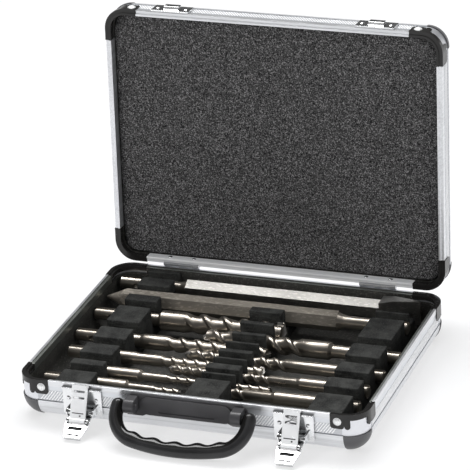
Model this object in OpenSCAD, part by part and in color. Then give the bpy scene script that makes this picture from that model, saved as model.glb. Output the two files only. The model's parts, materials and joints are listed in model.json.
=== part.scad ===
// Aluminium drill bit case, shown open: a foam-lined base tray with nine hammer drill bits
// and two chisels, a foam-filled lid on two hinges, two draw latches and a swing handle.
// Frame: origin at the middle of the base's underside, +X to the right along the front,
// +Y to the hinge side, +Z up. The lid, latches and handle are drawn where they rest.

/* [Case] */
// Room beyond each end of the longest tool, inside the case
end_room = 7.5; // [7:0.5:12]
// Depth of the case, from the latch side to the hinge side
case_d = 211; // [205:1:240]
// Height of the base, from underside to rim
base_h = 34.5; // [34:0.5:45]
// Height of the lid, from rim to top
lid_h = 32.5; // [30:0.5:45]
// Radius of the rounded edges and corners
edge_r = 17; // [15:0.5:18]
// Angle at which the lid stands open
open_angle = 93.5; // [85:0.5:100]
// Gap between the two rims when the case is closed
rim_gap = 0.2; // [0.1:0.05:0.5]

/* [Walls] */
// Width of the rim across its top, which is the whole wall
rim_w = 5; // [4.5:0.1:6]
// How far the corner pieces stand proud of the aluminium profiles
corner_proud = 0.5; // [0.3:0.1:0.8]
// How far the hatched bands lie behind the profiles
band_recess = 0.4; // [0.2:0.1:0.6]
// Thickness of the dark inner board
board_t = 2; // [1.5:0.1:2.5]
// Thickness of the edge profiles
edge_t = 2; // [1.5:0.1:2.4]
// Height of the rim profile's outer face
rim_skirt = 4.5; // [3:0.5:6]
// Height of the rim profile's inner face
rim_inner = 7; // [6:0.5:9]
// Width of the flat part of the rim, outside its step
rim_flat = 2.4; // [1.8:0.1:2.8]
// Depth of the step in the base's rim
step_h = 1; // [0.6:0.1:1.4]
// Sideways clearance of the lid's tongue in that step
step_clear = 0.15; // [0.1:0.05:0.3]
// Height of the dark groove under each band
groove_h = 1; // [0.6:0.1:1.5]
// Depth of that groove
groove_d = 0.8; // [0.4:0.1:1.2]

/* [Corner pieces] */
// Length of a rim corner's arms beyond the round
arm_l = 9.5; // [6:0.5:14]
// How far a rim corner's tab hangs below the rim
tab_drop = 11.5; // [9:0.5:13]
// Width of the tab on the face of the case
tab_w = 11; // [8:0.5:12]
// Thickness of the tab
tab_t = 0.9; // [0.6:0.1:0.9]
// Diameter of the rivet in the tab
tab_rivet_d = 6.4; // [4:0.2:7]
// Height of that rivet's head
tab_rivet_h = 1.5; // [0.8:0.1:2]

/* [Tray foam] */
// How far the foam lies below the rim
foam_drop = 2.1; // [1.5:0.1:5]
// Thickness of a foam strip, along the tools
strip_w = 27; // [20:1:32]
// Distance of the left strip's middle from the left wall
strip_left = 38; // [35:0.5:42]
// Middle of the middle strip, to the right of the case's middle
strip_mid_x = 8.5; // [2:0.5:9]
// Distance of the right strip's middle from the right wall
strip_right = 28; // [26:0.5:32]
// Clearance of a tool in its slot, on each side
slot_clear = 0.25; // [0.15:0.05:0.5]
// Clearance of the foam at the walls
foam_clear = 0.3; // [0.2:0.1:1]
// How far the lid's foam lies behind the lid's rim
lid_foam_drop = 6; // [4:0.5:12]

/* [Drill bits] */
// Diameters of the long bits with shanks at the left, back to front
left_size = [16, 12, 9, 6]; // [5:0.5:16]
// Their places from the middle of the tray towards the hinges
left_row = [39, 1, -28, -55]; // [-90:1:90]
// Distance of their shanks' ends from the left wall
left_gap = [1.5, 1, 6.5, 21.5]; // [1:0.5:24]
// Diameters of the long bits with shanks at the right, back to front
right_size = [14, 10, 8]; // [5:0.5:16]
// Their places from the middle of the tray towards the hinges
right_row = [18.5, -13, -39]; // [-90:1:90]
// Distance of their shanks' ends from the right wall
right_gap = [5.5, 8.5, 12.5]; // [1:0.5:24]
// Diameters of the short bits, left then right
short_size = [6, 8]; // [5:0.5:10]
// Their places from the middle of the tray towards the hinges
short_row = [-74, -65]; // [-95:1:90]
// Distance of their shanks' ends from the walls
short_gap = [5.5, 11.5]; // [1:0.5:24]
// Length of a long bit
long_l = 160; // [150:1:164]
// Length of a short bit
short_l = 110; // [100:1:120]
// Diameter of every shank
shank_d = 10; // [10:0.1:10]
// Length of a long bit's shank
shank_l = 54; // [50:1:58]
// Length of a short bit's shank
short_shank_l = 66; // [60:1:70]
// Length of the collar between shank and body
collar_l = 3; // [2:0.5:4]
// Length of a bit's plain body
body_l = 19; // [10:1:25]
// Lead of the flutes, as a multiple of the diameter
lead_ratio = 2.1; // [1.8:0.1:3]
// How far the fluted stem stays under a bit's full size
flute_relief = 0.2; // [0.1:0.05:0.4]
// Core of the flutes, as a share of the diameter
core_ratio = 0.55; // [0.45:0.05:0.7]
// Thickness of the carbide plate in the tip, as a share of the diameter
plate_ratio = 0.2; // [0.15:0.05:0.3]
// Height of the bits' axes above the underside
bit_z = 20; // [18:0.5:21]

/* [Chisels] */
// Length of each chisel
chisel_l = 250; // [240:1:300]
// Width across the flats of the hexagonal body
hex_af = 14; // [12:0.5:14.5]
// Length of the chisels' shanks
chisel_shank_l = 51; // [48:1:56]
// Length of the cone between shank and hexagon
neck_l = 6; // [4:0.5:8]
// How far the cone's wide end stays inside the hexagon
neck_step = 0.5; // [0.3:0.1:1]
// Place of the flat chisel from the middle towards the hinges
flat_row = 91.5; // [90:0.5:92.5]
// Distance of the flat chisel's shank end from the left wall
flat_gap = 3; // [3:0.5:5]
// Place of the point chisel from the middle towards the hinges
point_row = 63.5; // [60:0.5:66]
// Distance of the point chisel's shank end from the right wall
point_gap = 13; // [2:0.5:13]
// Height of the chisels' axes above the underside
chisel_z = 23; // [21:0.5:23]
// Width of the flat chisel's blade
blade_w = 20; // [16:0.5:20]
// Length of the flat chisel's wedge
blade_l = 32; // [24:1:40]
// Thickness of the blade's edge
blade_edge = 1.6; // [1:0.1:3]
// Length of the point chisel's point
point_l = 18; // [12:1:24]
// Turn of the point chisel's hexagon
point_turn = 20; // [0:1:30]

/* [Hinges] */
// Middle of each hinge from the middle of the case
hinge_x = 82; // [70:1:95]
// Length of a hinge
hinge_l = 30; // [24:1:36]
// Radius of the knuckles
knuckle_r = 2.4; // [2:0.1:2.6]
// Height of the hinge axis above the base's rim
hinge_rise = 2.5; // [2.5:0.1:3]
// Diameter of the hinge pins
hinge_pin_d = 2.2; // [1.6:0.1:2.6]
// Length of a hinge leaf beyond the knuckle
leaf_l = 13; // [10:0.5:15]
// Thickness of a hinge leaf
leaf_t = 1; // [0.8:0.1:1.2]
// End gap between knuckles
knuckle_gap = 0.15; // [0.1:0.05:0.4]

/* [Latches] */
// Middle of each latch from the middle of the case
latch_x = 83.3; // [76:0.1:90]
// Width of the latch plates and of the strikes
latch_w = 31; // [28:0.5:34]
// Height of the plate's lower edge above the underside
latch_low = 10; // [9:0.5:11]
// Height of the plate's upper edge above the underside
latch_top = 32; // [30:0.5:32]
// Thickness of the latch sheet
sheet_t = 1.4; // [1:0.1:1.6]
// How far the plate's upper lip stands forward
lip_out = 1.6; // [1:0.1:1.8]
// How far the lever's pivot stands in front of the case
pivot_out = 5.5; // [5.5:0.1:6]
// Height of the lever's pivot above the underside
pivot_z = 14; // [13.5:0.5:14.5]
// Width of the lever at its pivot
lever_w = 18.5; // [17:0.5:20]
// Width of the lever at its tip
lever_tip_w = 13; // [10:0.5:14]
// Length of the lever from pivot to tip
lever_l = 23; // [21:0.5:24]
// Bend at the lever's tip
lever_bend = 1.6; // [1:0.1:1.8]
// Radius of the lever's rolled knuckle
roll_r = 2.4; // [2.2:0.1:2.6]
// Distance from the lever's pivot to the link's pivot
crank_r = 8; // [7.5:0.5:8.5]
// Length of the link from its pivot to the top of its claw
link_l = 26.6; // [26:0.1:27]
// Width of the link
link_w = 12.5; // [11:0.5:13]
// Thickness of the link
link_t = 1.5; // [1.2:0.1:1.6]
// Reach of the link's claw towards the case
claw_reach = 2.6; // [2.2:0.1:2.8]
// Diameter of the lever's pin
lever_pin_d = 2.2; // [1.8:0.1:2.4]
// Diameter of the link's pin
link_pin_d = 1.8; // [1.4:0.1:2]
// Angle between the resting lever and straight down
lever_rest = 66; // [64:1:70]
// Lean of the resting link from upright towards the case
link_rest = 22.5; // [20:0.5:23]
// Height of the strike's hook above the rim gap's top
hook_top = 11.5; // [11:0.1:12]
// Height of the strike plates
strike_h = 13.5; // [13:0.5:15]
// How far the strike's hook stands forward of its plate
hook_out = 2.1; // [1.8:0.1:2.2]

/* [Handle] */
// Middle of each handle ear from the middle of the case
ear_x = 42; // [38:0.5:46]
// Width of a handle ear
ear_w = 8; // [6:0.5:9]
// How far the handle's pivot stands in front of the case
grip_out = 8; // [8:0.1:9]
// Height of the handle's pivot above the underside
grip_z = 26; // [25:0.5:27]
// Radius of the handle's grip
grip_r = 5.25; // [4.5:0.05:5.5]
// Clearance between an ear and the handle
ear_clear = 0.25; // [0.15:0.05:0.6]
// Length of the handle's straight legs below the pivot
leg_l = 5; // [3:0.5:8]
// Bend radius of the handle at its middle line
bend_r = 22; // [18:0.5:24]
// Angle over which the handle's front bar curves to each side
bow_angle = 12; // [8:1:16]
// Diameter of the handle's pins
grip_pin_d = 4; // [3:0.1:5]
// Angle between the resting handle and straight down
grip_rest = 47.5; // [47:0.5:50]
// Number of finger ridges on the inside of the grip
ridge_count = 5; // [3:1:6]
// Spacing of the finger ridges
ridge_step = 17.5; // [14:0.5:18]
// Height of a ridge over the grip
ridge_h = 2; // [1:0.1:3]
// Half width of the handle's bracket
bracket_w = 47.5; // [46.5:0.5:50]
// Thickness of the bracket's flange
flange_t = 1.4; // [1:0.1:1.6]
// Height of the flange's lower edge above the underside
flange_low = 15; // [14:0.5:16]
// Height of the flange's upper edge above the underside
flange_top = 33; // [31:0.5:33]
// Width of the flange's deep ends
flange_end_w = 12; // [10:0.5:16]
// How much higher the flange's lower edge lies between its deep ends
flange_rise = 2; // [1:0.5:4]
// How much shorter the flange is at its upper edge, on each side
flange_taper = 4; // [2:0.5:6]
// Height of the bracket's raised middle over its flange
pad_t = 1.4; // [1:0.1:2]
// Distance of the raised middle from the flange's upper edge
pad_margin = 1.5; // [1:0.5:3]
// Length of the groove along the raised middle
pad_groove_l = 44; // [30:1:60]
// Width of that groove
pad_groove_w = 1.2; // [0.8:0.1:2]
// Height of that groove above the raised middle's lower edge
pad_groove_up = 2.5; // [2:0.5:6]

/* [Hidden] */
// Which sub-part is drawn
// Smallest overlap that makes joined shapes one solid
eps = 0.01;
$fn = 64;

aluminium = [0.85, 0.86, 0.88];
black = [0.11, 0.11, 0.11];
grey_plastic = [0.28, 0.28, 0.29];
foam_grey = [0.25, 0.25, 0.26];
steel = [0.60, 0.55, 0.50];
chrome = [0.90, 0.91, 0.93];

// Half sizes of the case and the middles of its round corners
case_w = chisel_l + 2 * (end_room + rim_w);
half_w = case_w / 2;
half_d = case_d / 2;
mid_x = half_w - edge_r;
mid_y = half_d - edge_r;

// Depths into the wall, measured from the corner pieces' outer face
prof_in = corner_proud;
band_in = prof_in + band_recess;
board_in = rim_w - board_t;
panel_t = board_in;
floor_z = panel_t + board_t;
step_in = prof_in + rim_flat;

// Faces that other pieces seat on
front_y = -(half_d - prof_in);
back_y = half_d - prof_in;
lid_rim_z = base_h + rim_gap;
lid_top_z = lid_rim_z + lid_h;

// Inside of the side walls, from which tools and foam strips are placed
inner_w = half_w - rim_w;
strip_left_x = strip_left - inner_w;
strip_right_x = inner_w - strip_right;

// Foam
foam_top = base_h - foam_drop;
foam_half_y = half_d - rim_w - foam_clear;
foam_cove_r = edge_r - rim_w - foam_clear;

// Hinge axis
axis_y = half_d;
axis_z = base_h + hinge_rise;
bore_clear = 0.05;
notch_clear = 0.3;
knuckle_count = 5;
knuckle_l = hinge_l / knuckle_count;

// Latch
lever_y = -(half_d + pivot_out);
link_y = lever_y - crank_r * sin(lever_rest);
link_z = pivot_z - crank_r * cos(lever_rest);
ear_gap = 0.2;
ear_t = 1.4;
ear_r = 3.2;
roll_bore = lever_pin_d / 2 + bore_clear;
link_bore = link_pin_d / 2 + bore_clear;
link_roll_r = 1.9;
window_clear = 0.45;
lug_t = 1.6;

// Handle
grip_y = -(half_d + grip_out);
leg_x = ear_x + ear_w / 2 + ear_clear + grip_r;
bow_r = bend_r + (leg_x - bend_r) / sin(bow_angle);
bow_z = -leg_l + (bow_r - bend_r) * cos(bow_angle);
bow_half = bow_r * bow_angle * PI / 180;
grip_ear_r = 5.6;
grip_sides = 16;
grip_rings = 64;

// Rivets
small_rivet_d = 3.4;
small_rivet_h = 0.7;

// ---- placing ----

// One copy in each quarter of the plan
module quarters() {
    for (mx = [0, 1], my = [0, 1])
        mirror([mx, 0, 0]) mirror([0, my, 0]) children();
}

// One copy on the front and one on the back
module front_and_back() {
    for (my = [0, 1]) mirror([0, my, 0]) children();
}

// One copy on the left and one on the right
module left_and_right() {
    for (mx = [0, 1]) mirror([mx, 0, 0]) children();
}

// Closed-case places swung with the lid to where it stands open
module swung() {
    translate([0, axis_y, axis_z])
        rotate([-open_angle, 0, 0])
        translate([0, -axis_y, -axis_z]) children();
}

// A half shell drawn rim up, turned over to become the lid
module as_lid() {
    swung() translate([0, 0, lid_top_z]) mirror([0, 0, 1]) children();
}

// A section drawn as depth into the wall and height, run along the front wall
module along_front(l) {
    translate([-l / 2, -half_d, 0]) rotate([90, 0, 90]) linear_extrude(l) children();
}

// The same section run along the left wall
module along_left(l) {
    translate([-half_w, l / 2, 0]) rotate([90, 0, 0]) linear_extrude(l) children();
}

// The same section turned round the corner of the first quarter
module round_corner() {
    translate([mid_x, mid_y, 0]) rotate_extrude(angle = 90)
        translate([edge_r, 0]) mirror([1, 0]) children();
}

// ---- the half shells: wall sections ----

// Quarter ring between two depths into the wall, for the rounded lower edge
module edge_section(outer, inner) {
    translate([edge_r, edge_r]) intersection() {
        difference() {
            circle(edge_r - outer);
            circle(edge_r - inner);
        }
        translate([-edge_r, -edge_r]) square(edge_r);
    }
}

// Upright wall between two depths, from the round edge up to a height
module wall_section(outer, inner, top) {
    translate([outer, edge_r]) square([inner - outer, top - edge_r]);
}

// Hatched band with the dark groove along its foot
module band_section(h) {
    difference() {
        wall_section(band_in, board_in, h - rim_skirt);
        translate([band_in - eps, edge_r - eps]) square([groove_d + eps, groove_h + eps]);
    }
}

// Rim profile, with a step down in the base and a tongue in the lid
module rim_section(outer, h, step_x, step) {
    polygon([[outer, h - rim_skirt], [outer, h], [step_x, h], [step_x, h + step],
        [rim_w, h + step], [rim_w, h - rim_inner], [board_in, h - rim_inner],
        [board_in, h - rim_skirt]]);
}

module base_rim_section(outer) {
    rim_section(outer, base_h, step_in, -step_h);
}

module lid_rim_section(outer) {
    rim_section(outer, lid_h, step_in + step_clear, step_h - rim_gap);
}

// ---- the half shells: pieces ----

module panel() {
    translate([-mid_x, -mid_y, 0]) cube([2 * mid_x, 2 * mid_y, panel_t]);
}

module edges_long() {
    front_and_back() along_front(2 * mid_x) edge_section(prof_in, prof_in + edge_t);
}

module edges_short() {
    left_and_right() along_left(2 * mid_y) edge_section(prof_in, prof_in + edge_t);
}

module bands_long(h) {
    front_and_back() along_front(2 * mid_x) band_section(h);
}

module bands_short(h) {
    left_and_right() along_left(2 * mid_y) band_section(h);
}

// Black ball corner: an eighth of a hollow sphere
module ball_corners() {
    quarters() round_corner() edge_section(0, prof_in + edge_t);
}

// Silver corner between the ball corner and the rim corner
module mid_corners(h) {
    quarters() round_corner() wall_section(tab_t, board_in, h - rim_skirt);
}

// Outline of a rim corner's tab, seen from the front: a large lobe and a small one
module tab_outline(h) {
    lobe = tab_w / 2;
    translate([-arm_l, h - rim_skirt - eps]) square([arm_l + lobe + tab_t, eps]);
    translate([lobe - arm_l, h - tab_drop + lobe]) {
        circle(lobe);
        translate([-lobe, 0]) square([tab_w, tab_drop - lobe - rim_skirt]);
    }
    translate([tab_w - arm_l + lobe / 2, h - tab_drop + tab_w / 2 + lobe / 2]) {
        circle(lobe / 2);
        translate([-lobe, 0]) square([3 * lobe / 2, tab_drop - tab_w / 2 - lobe / 2 - rim_skirt]);
    }
}

// Thin skin of the wall that a tab is cut from
module tab_skin(h) {
    translate([mid_x - arm_l, mid_y + edge_r - tab_t, h - tab_drop])
        cube([arm_l, tab_t, tab_drop - rim_skirt]);
    round_corner() translate([0, h - tab_drop]) square([tab_t, tab_drop - rim_skirt]);
}

// Black rim corner with two arms and one riveted tab
module rim_corners(h) {
    quarters() {
        round_corner() children();
        translate([mid_x - arm_l / 2, 0, 0]) mirror([0, 1, 0]) along_front(arm_l) children();
        translate([0, mid_y - arm_l / 2, 0]) mirror([1, 0, 0]) along_left(arm_l) children();
        intersection() {
            tab_skin(h);
            translate([mid_x, half_d + eps, 0]) rotate([90, 0, 0])
                linear_extrude(edge_r) tab_outline(h);
        }
    }
}

// Domed head standing on the face z = 0
module dome(d, h) {
    ball = (d * d / 4 + h * h) / (2 * h);
    intersection() {
        translate([0, 0, h - ball]) sphere(ball);
        cylinder(d = d, h = h);
    }
}

// Dome on an upright face that looks towards the front
module front_dome(x, y, z, d, h) {
    translate([x, y, z]) rotate([90, 0, 0]) dome(d, h);
}

module corner_rivets(h) {
    quarters() mirror([0, 1, 0])
        front_dome(mid_x - arm_l + tab_w / 2, -half_d, h - tab_drop + tab_w / 2 + 0.2,
            tab_rivet_d, tab_rivet_h);
}

// Dark inner board: floor, coved edges, walls and round corners as one tub
module liner(h) {
    top = h - rim_inner;
    translate([-mid_x, -mid_y, panel_t]) cube([2 * mid_x, 2 * mid_y, board_t]);
    front_and_back() along_front(2 * mid_x) {
        edge_section(board_in, rim_w);
        wall_section(board_in, rim_w, top);
    }
    left_and_right() along_left(2 * mid_y) {
        edge_section(board_in, rim_w);
        wall_section(board_in, rim_w, top);
    }
    quarters() round_corner() {
        edge_section(board_in, rim_w);
        wall_section(board_in, rim_w, top);
    }
}

// ---- base ----

module base_panel() { color(aluminium) panel(); }
module base_edges_long() { color(aluminium) edges_long(); }
module base_edges_short() { color(aluminium) edges_short(); }
module base_bands_long() { color(aluminium) bands_long(base_h); }
module base_bands_short() { color(aluminium) bands_short(base_h); }

module base_rims_long() {
    color(aluminium) front_and_back() along_front(2 * (mid_x - arm_l)) base_rim_section(prof_in);
}

module base_rims_short() {
    color(aluminium) left_and_right() along_left(2 * (mid_y - arm_l)) base_rim_section(prof_in);
}

module base_ball_corners() { color(grey_plastic) ball_corners(); }
module base_mid_corners() { color(aluminium) mid_corners(base_h); }
module base_rim_corners() { color(black) rim_corners(base_h) base_rim_section(0); }
module base_corner_rivets() { color(chrome) corner_rivets(base_h); }
module base_liner() { color(black) liner(base_h); }

// ---- tray foam ----

// Section of a strip across the tray, with its lower corners round like the liner's
module strip_section() {
    round_y = foam_half_y - foam_cove_r;
    low = floor_z + foam_clear;
    for (s = [-1, 1]) translate([s * round_y, low + foam_cove_r]) circle(foam_cove_r);
    translate([-round_y, low]) square([2 * round_y, foam_cove_r]);
    translate([-foam_half_y, low + foam_cove_r])
        square([2 * foam_half_y, foam_top - low - foam_cove_r]);
}

// Open-topped slot with a round foot, for a round tool
module round_slot(y, z, d) {
    r = d / 2 + slot_clear;
    translate([y, z]) circle(r);
    translate([y - r, z]) square([2 * r, foam_top - z + eps]);
}

// Open-topped slot with a flat foot, for a chisel's body or blade
module flat_slot(y, half_width, foot) {
    translate([y - half_width - slot_clear, foot - slot_clear])
        square([2 * (half_width + slot_clear), foam_top - foot + slot_clear + eps]);
}

// Open-topped slot that runs out at the foam's hinge end, for the flat chisel
module end_slot(y, half_width, foot) {
    translate([y - half_width - slot_clear, foot - slot_clear])
        square([foam_half_y - y + half_width + slot_clear + eps, foam_top - foot + slot_clear + eps]);
}

module strip(x) {
    color(foam_grey) translate([x - strip_w / 2, 0, 0]) rotate([90, 0, 90])
        linear_extrude(strip_w) difference() {
            strip_section();
            children();
        }
}

hex_corner_r = hex_af / 2 / cos(30);

module foam_left() {
    strip(strip_left_x) {
        round_slot(flat_row, chisel_z, shank_d);
        flat_slot(point_row, hex_corner_r, chisel_z - hex_corner_r);
        for (y = left_row) round_slot(y, bit_z, shank_d);
        round_slot(short_row[0], bit_z, shank_d);
    }
}

module foam_middle() {
    strip(strip_mid_x) {
        end_slot(flat_row, hex_af / 2, chisel_z - hex_corner_r);
        flat_slot(point_row, hex_corner_r, chisel_z - hex_corner_r);
        for (i = [0 : len(left_row) - 1]) round_slot(left_row[i], bit_z, left_size[i]);
        for (i = [0 : len(right_row) - 1]) round_slot(right_row[i], bit_z, right_size[i]);
        round_slot(short_row[1], bit_z, short_size[1]);
    }
}

module foam_right() {
    strip(strip_right_x) {
        end_slot(flat_row, hex_af / 2, chisel_z - blade_w / 2);
        round_slot(point_row, chisel_z, shank_d);
        for (y = right_row) round_slot(y, bit_z, shank_d);
        round_slot(short_row[1], bit_z, shank_d);
    }
}

// ---- lid ----

module lid_panel() { color(aluminium) as_lid() panel(); }
module lid_edges_long() { color(aluminium) as_lid() edges_long(); }
module lid_edges_short() { color(aluminium) as_lid() edges_short(); }
module lid_bands_short() { color(aluminium) as_lid() bands_short(lid_h); }

// Room round the hinge axis for the knuckles, in closed-case places
module knuckle_room() {
    left_and_right() translate([hinge_x - hinge_l / 2 - notch_clear, axis_y, axis_z])
        rotate([0, 90, 0]) cylinder(r = knuckle_r + notch_clear, h = hinge_l + 2 * notch_clear);
}

module lid_bands_long() {
    color(aluminium) difference() {
        as_lid() bands_long(lid_h);
        swung() knuckle_room();
    }
}

module lid_rims_long() {
    color(aluminium) difference() {
        as_lid() front_and_back() along_front(2 * (mid_x - arm_l)) lid_rim_section(prof_in);
        swung() knuckle_room();
    }
}

module lid_rims_short() {
    color(aluminium) as_lid() left_and_right()
        along_left(2 * (mid_y - arm_l)) lid_rim_section(prof_in);
}

module lid_ball_corners() { color(grey_plastic) as_lid() ball_corners(); }
module lid_mid_corners() { color(aluminium) as_lid() mid_corners(lid_h); }
module lid_rim_corners() { color(black) as_lid() rim_corners(lid_h) lid_rim_section(0); }
module lid_corner_rivets() { color(chrome) as_lid() corner_rivets(lid_h); }
module lid_liner() { color(black) as_lid() liner(lid_h); }

// Foam block that fills the lid, with round corners
module lid_foam() {
    block_x = half_w - rim_w - foam_clear;
    low = floor_z + foam_clear;
    color(foam_grey) as_lid() translate([0, 0, low]) {
        translate([-mid_x, -foam_half_y, edge_r - low])
            cube([2 * mid_x, 2 * foam_half_y, lid_h - lid_foam_drop - edge_r]);
        translate([-block_x, -mid_y, edge_r - low])
            cube([2 * block_x, 2 * mid_y, lid_h - lid_foam_drop - edge_r]);
        quarters() translate([mid_x, mid_y, edge_r - low])
            cylinder(r = foam_cove_r, h = lid_h - lid_foam_drop - edge_r);
        translate([-mid_x, -mid_y, 0]) cube([2 * mid_x, 2 * mid_y, edge_r - low]);
    }
}

// ---- hinges ----

// One knuckle of the hinge, counted from its left end
module knuckle(i) {
    translate([i * knuckle_l + knuckle_gap / 2, 0, 0]) rotate([0, 90, 0])
        difference() {
            cylinder(r = knuckle_r, h = knuckle_l - knuckle_gap);
            translate([0, 0, -eps])
                cylinder(d = hinge_pin_d + 2 * bore_clear, h = knuckle_l + 2 * eps);
        }
}

// Strip of leaf between a knuckle and its plate, on the side given by the sign
module tang(i, side) {
    reach = knuckle_r + notch_clear;
    room = hinge_pin_d / 2 + bore_clear + notch_clear / 2;
    translate([i * knuckle_l + knuckle_gap / 2, -corner_proud, side > 0 ? room : -reach])
        cube([knuckle_l - knuckle_gap, leaf_t, reach - room]);
}

// Leaf plate flat on the outside of the back wall
module leaf(side) {
    reach = knuckle_r + notch_clear;
    translate([0, -corner_proud, side > 0 ? reach : -reach - leaf_l])
        cube([hinge_l, leaf_t, leaf_l]);
}

module at_hinges() {
    for (s = [-1, 1]) translate([s * hinge_x - hinge_l / 2, axis_y, axis_z]) children();
}

module hinge_base_leaves() {
    color(aluminium) at_hinges() {
        leaf(-1);
        for (i = [0 : 2 : knuckle_count - 1]) {
            knuckle(i);
            tang(i, -1);
        }
    }
}

module hinge_lid_leaves() {
    color(aluminium) swung() at_hinges() {
        leaf(1);
        for (i = [1 : 2 : knuckle_count - 2]) {
            knuckle(i);
            tang(i, 1);
        }
    }
}

module hinge_pins() {
    proud = notch_clear / 3;
    color(chrome) at_hinges() translate([-proud, 0, 0]) rotate([0, 90, 0])
        cylinder(d = hinge_pin_d, h = hinge_l + 2 * proud);
}

// ---- latches ----

// Outline of an ear from the plate forward to the lever's pivot
module ear_outline(r, depth) {
    circle(r);
    translate([0, -r]) square([depth, 2 * r]);
}

module latch_plate() {
    depth = pivot_out + prof_in - sheet_t;
    color(chrome) {
        translate([-latch_w / 2, front_y - sheet_t, latch_low])
            cube([latch_w, sheet_t, latch_top - latch_low]);
        translate([-latch_w / 2, front_y - sheet_t - lip_out, latch_top - sheet_t])
            cube([latch_w, lip_out, sheet_t]);
        for (s = [-1, 1])
            translate([s * (lever_w / 2 + ear_gap + ear_t / 2) - ear_t / 2, lever_y, pivot_z])
                rotate([90, 0, 90]) linear_extrude(ear_t) difference() {
                    ear_outline(ear_r, depth);
                    circle(roll_bore);
                }
    }
}

// Lever drawn hanging straight down from its pivot at the origin
module lever() {
    inner = roll_r - sheet_t;
    window = link_w / 2 + window_clear;
    color(chrome) difference() {
        union() {
            translate([-lever_w / 2, 0, 0]) rotate([0, 90, 0]) cylinder(r = roll_r, h = lever_w);
            translate([0, roll_r, 0]) rotate([90, 0, 0]) linear_extrude(sheet_t)
                polygon([[-lever_w / 2, 0], [lever_w / 2, 0], [lever_w / 2, -lever_l / 2],
                    [lever_tip_w / 2, -lever_l], [-lever_tip_w / 2, -lever_l],
                    [-lever_w / 2, -lever_l / 2]]);
            translate([-lever_tip_w / 2, inner, -lever_l])
                cube([lever_tip_w, sheet_t + lever_bend, sheet_t]);
            for (s = [-1, 1])
                translate([s * (window + lug_t / 2) - lug_t / 2, 0, -crank_r])
                    rotate([90, 0, 90]) linear_extrude(lug_t)
                    ear_outline(link_roll_r, inner + eps);
        }
        translate([-window, inner - eps, -crank_r - link_roll_r - window_clear])
            cube([2 * window, sheet_t + 1, 2 * (link_roll_r + window_clear)]);
        translate([-lever_w, 0, 0]) rotate([0, 90, 0]) cylinder(r = roll_bore, h = 2 * lever_w);
        translate([-lever_w, 0, -crank_r]) rotate([0, 90, 0])
            cylinder(r = link_bore, h = 2 * lever_w);
    }
}

// Link drawn standing straight up from its pivot at the origin, claw towards the case
module link() {
    slot_w = link_w * 0.7;
    color(chrome) difference() {
        union() {
            translate([-link_w / 2, 0, 0]) rotate([0, 90, 0])
                cylinder(r = link_roll_r, h = link_w);
            translate([-link_w / 2, -link_t / 2, 0]) cube([link_w, link_t, link_l]);
            translate([-link_w / 2, -link_t / 2, link_l - sheet_t])
                cube([link_w, link_t / 2 + claw_reach, sheet_t]);
        }
        translate([-link_w, 0, 0]) rotate([0, 90, 0]) cylinder(r = link_bore, h = 2 * link_w);
        for (z = [link_l * 0.62, link_l * 0.8])
            translate([-slot_w / 2, -link_t, z]) cube([slot_w, 2 * link_t, link_t]);
    }
}

module lever_place() {
    translate([0, lever_y, pivot_z]) rotate([-lever_rest, 0, 0]) children();
}

module link_place() {
    translate([0, link_y, link_z]) rotate([-link_rest, 0, 0]) children();
}

module at_latch(side) {
    translate([side * latch_x, 0, 0]) children();
}

module latch_plate_left() { at_latch(-1) latch_plate(); }
module latch_plate_right() { at_latch(1) latch_plate(); }
module latch_lever_left() { at_latch(-1) lever_place() lever(); }
module latch_lever_right() { at_latch(1) lever_place() lever(); }
module latch_link_left() { at_latch(-1) link_place() link(); }
module latch_link_right() { at_latch(1) link_place() link(); }

module lever_pins() {
    pin_l = lever_w + 2 * (ear_gap + ear_t);
    color(chrome) for (s = [-1, 1])
        at_latch(s) translate([-pin_l / 2, lever_y, pivot_z]) rotate([0, 90, 0])
            cylinder(d = lever_pin_d, h = pin_l);
}

module link_pin() {
    pin_l = link_w + 2 * (window_clear + lug_t);
    color(chrome) translate([-pin_l / 2, link_y, link_z]) rotate([0, 90, 0])
        cylinder(d = link_pin_d, h = pin_l);
}

module link_pin_left() { at_latch(-1) link_pin(); }
module link_pin_right() { at_latch(1) link_pin(); }

// Strike plate with its hook, in closed-case places
module strike() {
    hook_w = link_w;
    foot = lid_rim_z + 4;
    top = lid_rim_z + hook_top;
    color(chrome) {
        translate([-latch_w / 2, front_y - sheet_t, lid_rim_z + 0.5])
            cube([latch_w, sheet_t, strike_h]);
        translate([-hook_w / 2, front_y - sheet_t, 0]) rotate([90, 0, 90])
            linear_extrude(hook_w)
            polygon([[0, foot], [-hook_out, foot + hook_out], [-hook_out, top], [0, top]]);
    }
}

module strike_left() { swung() at_latch(-1) strike(); }
module strike_right() { swung() at_latch(1) strike(); }

// Rivet heads on the latch plates and on both sides of the base hinge leaves
module base_rivets() {
    rivet_x = latch_w / 2 - 4.5;
    color(chrome) {
        for (s = [-1, 1], t = [-1, 1])
            front_dome(s * latch_x + t * rivet_x, front_y - sheet_t, (latch_top + pivot_z) / 2,
                small_rivet_d, small_rivet_h);
        for (s = [-1, 1], t = [-1, 1])
            translate([s * hinge_x + t * hinge_l / 3, back_y + leaf_t,
                axis_z - knuckle_r - leaf_l / 2])
                rotate([-90, 0, 0]) dome(small_rivet_d, small_rivet_h);
    }
}

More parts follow.
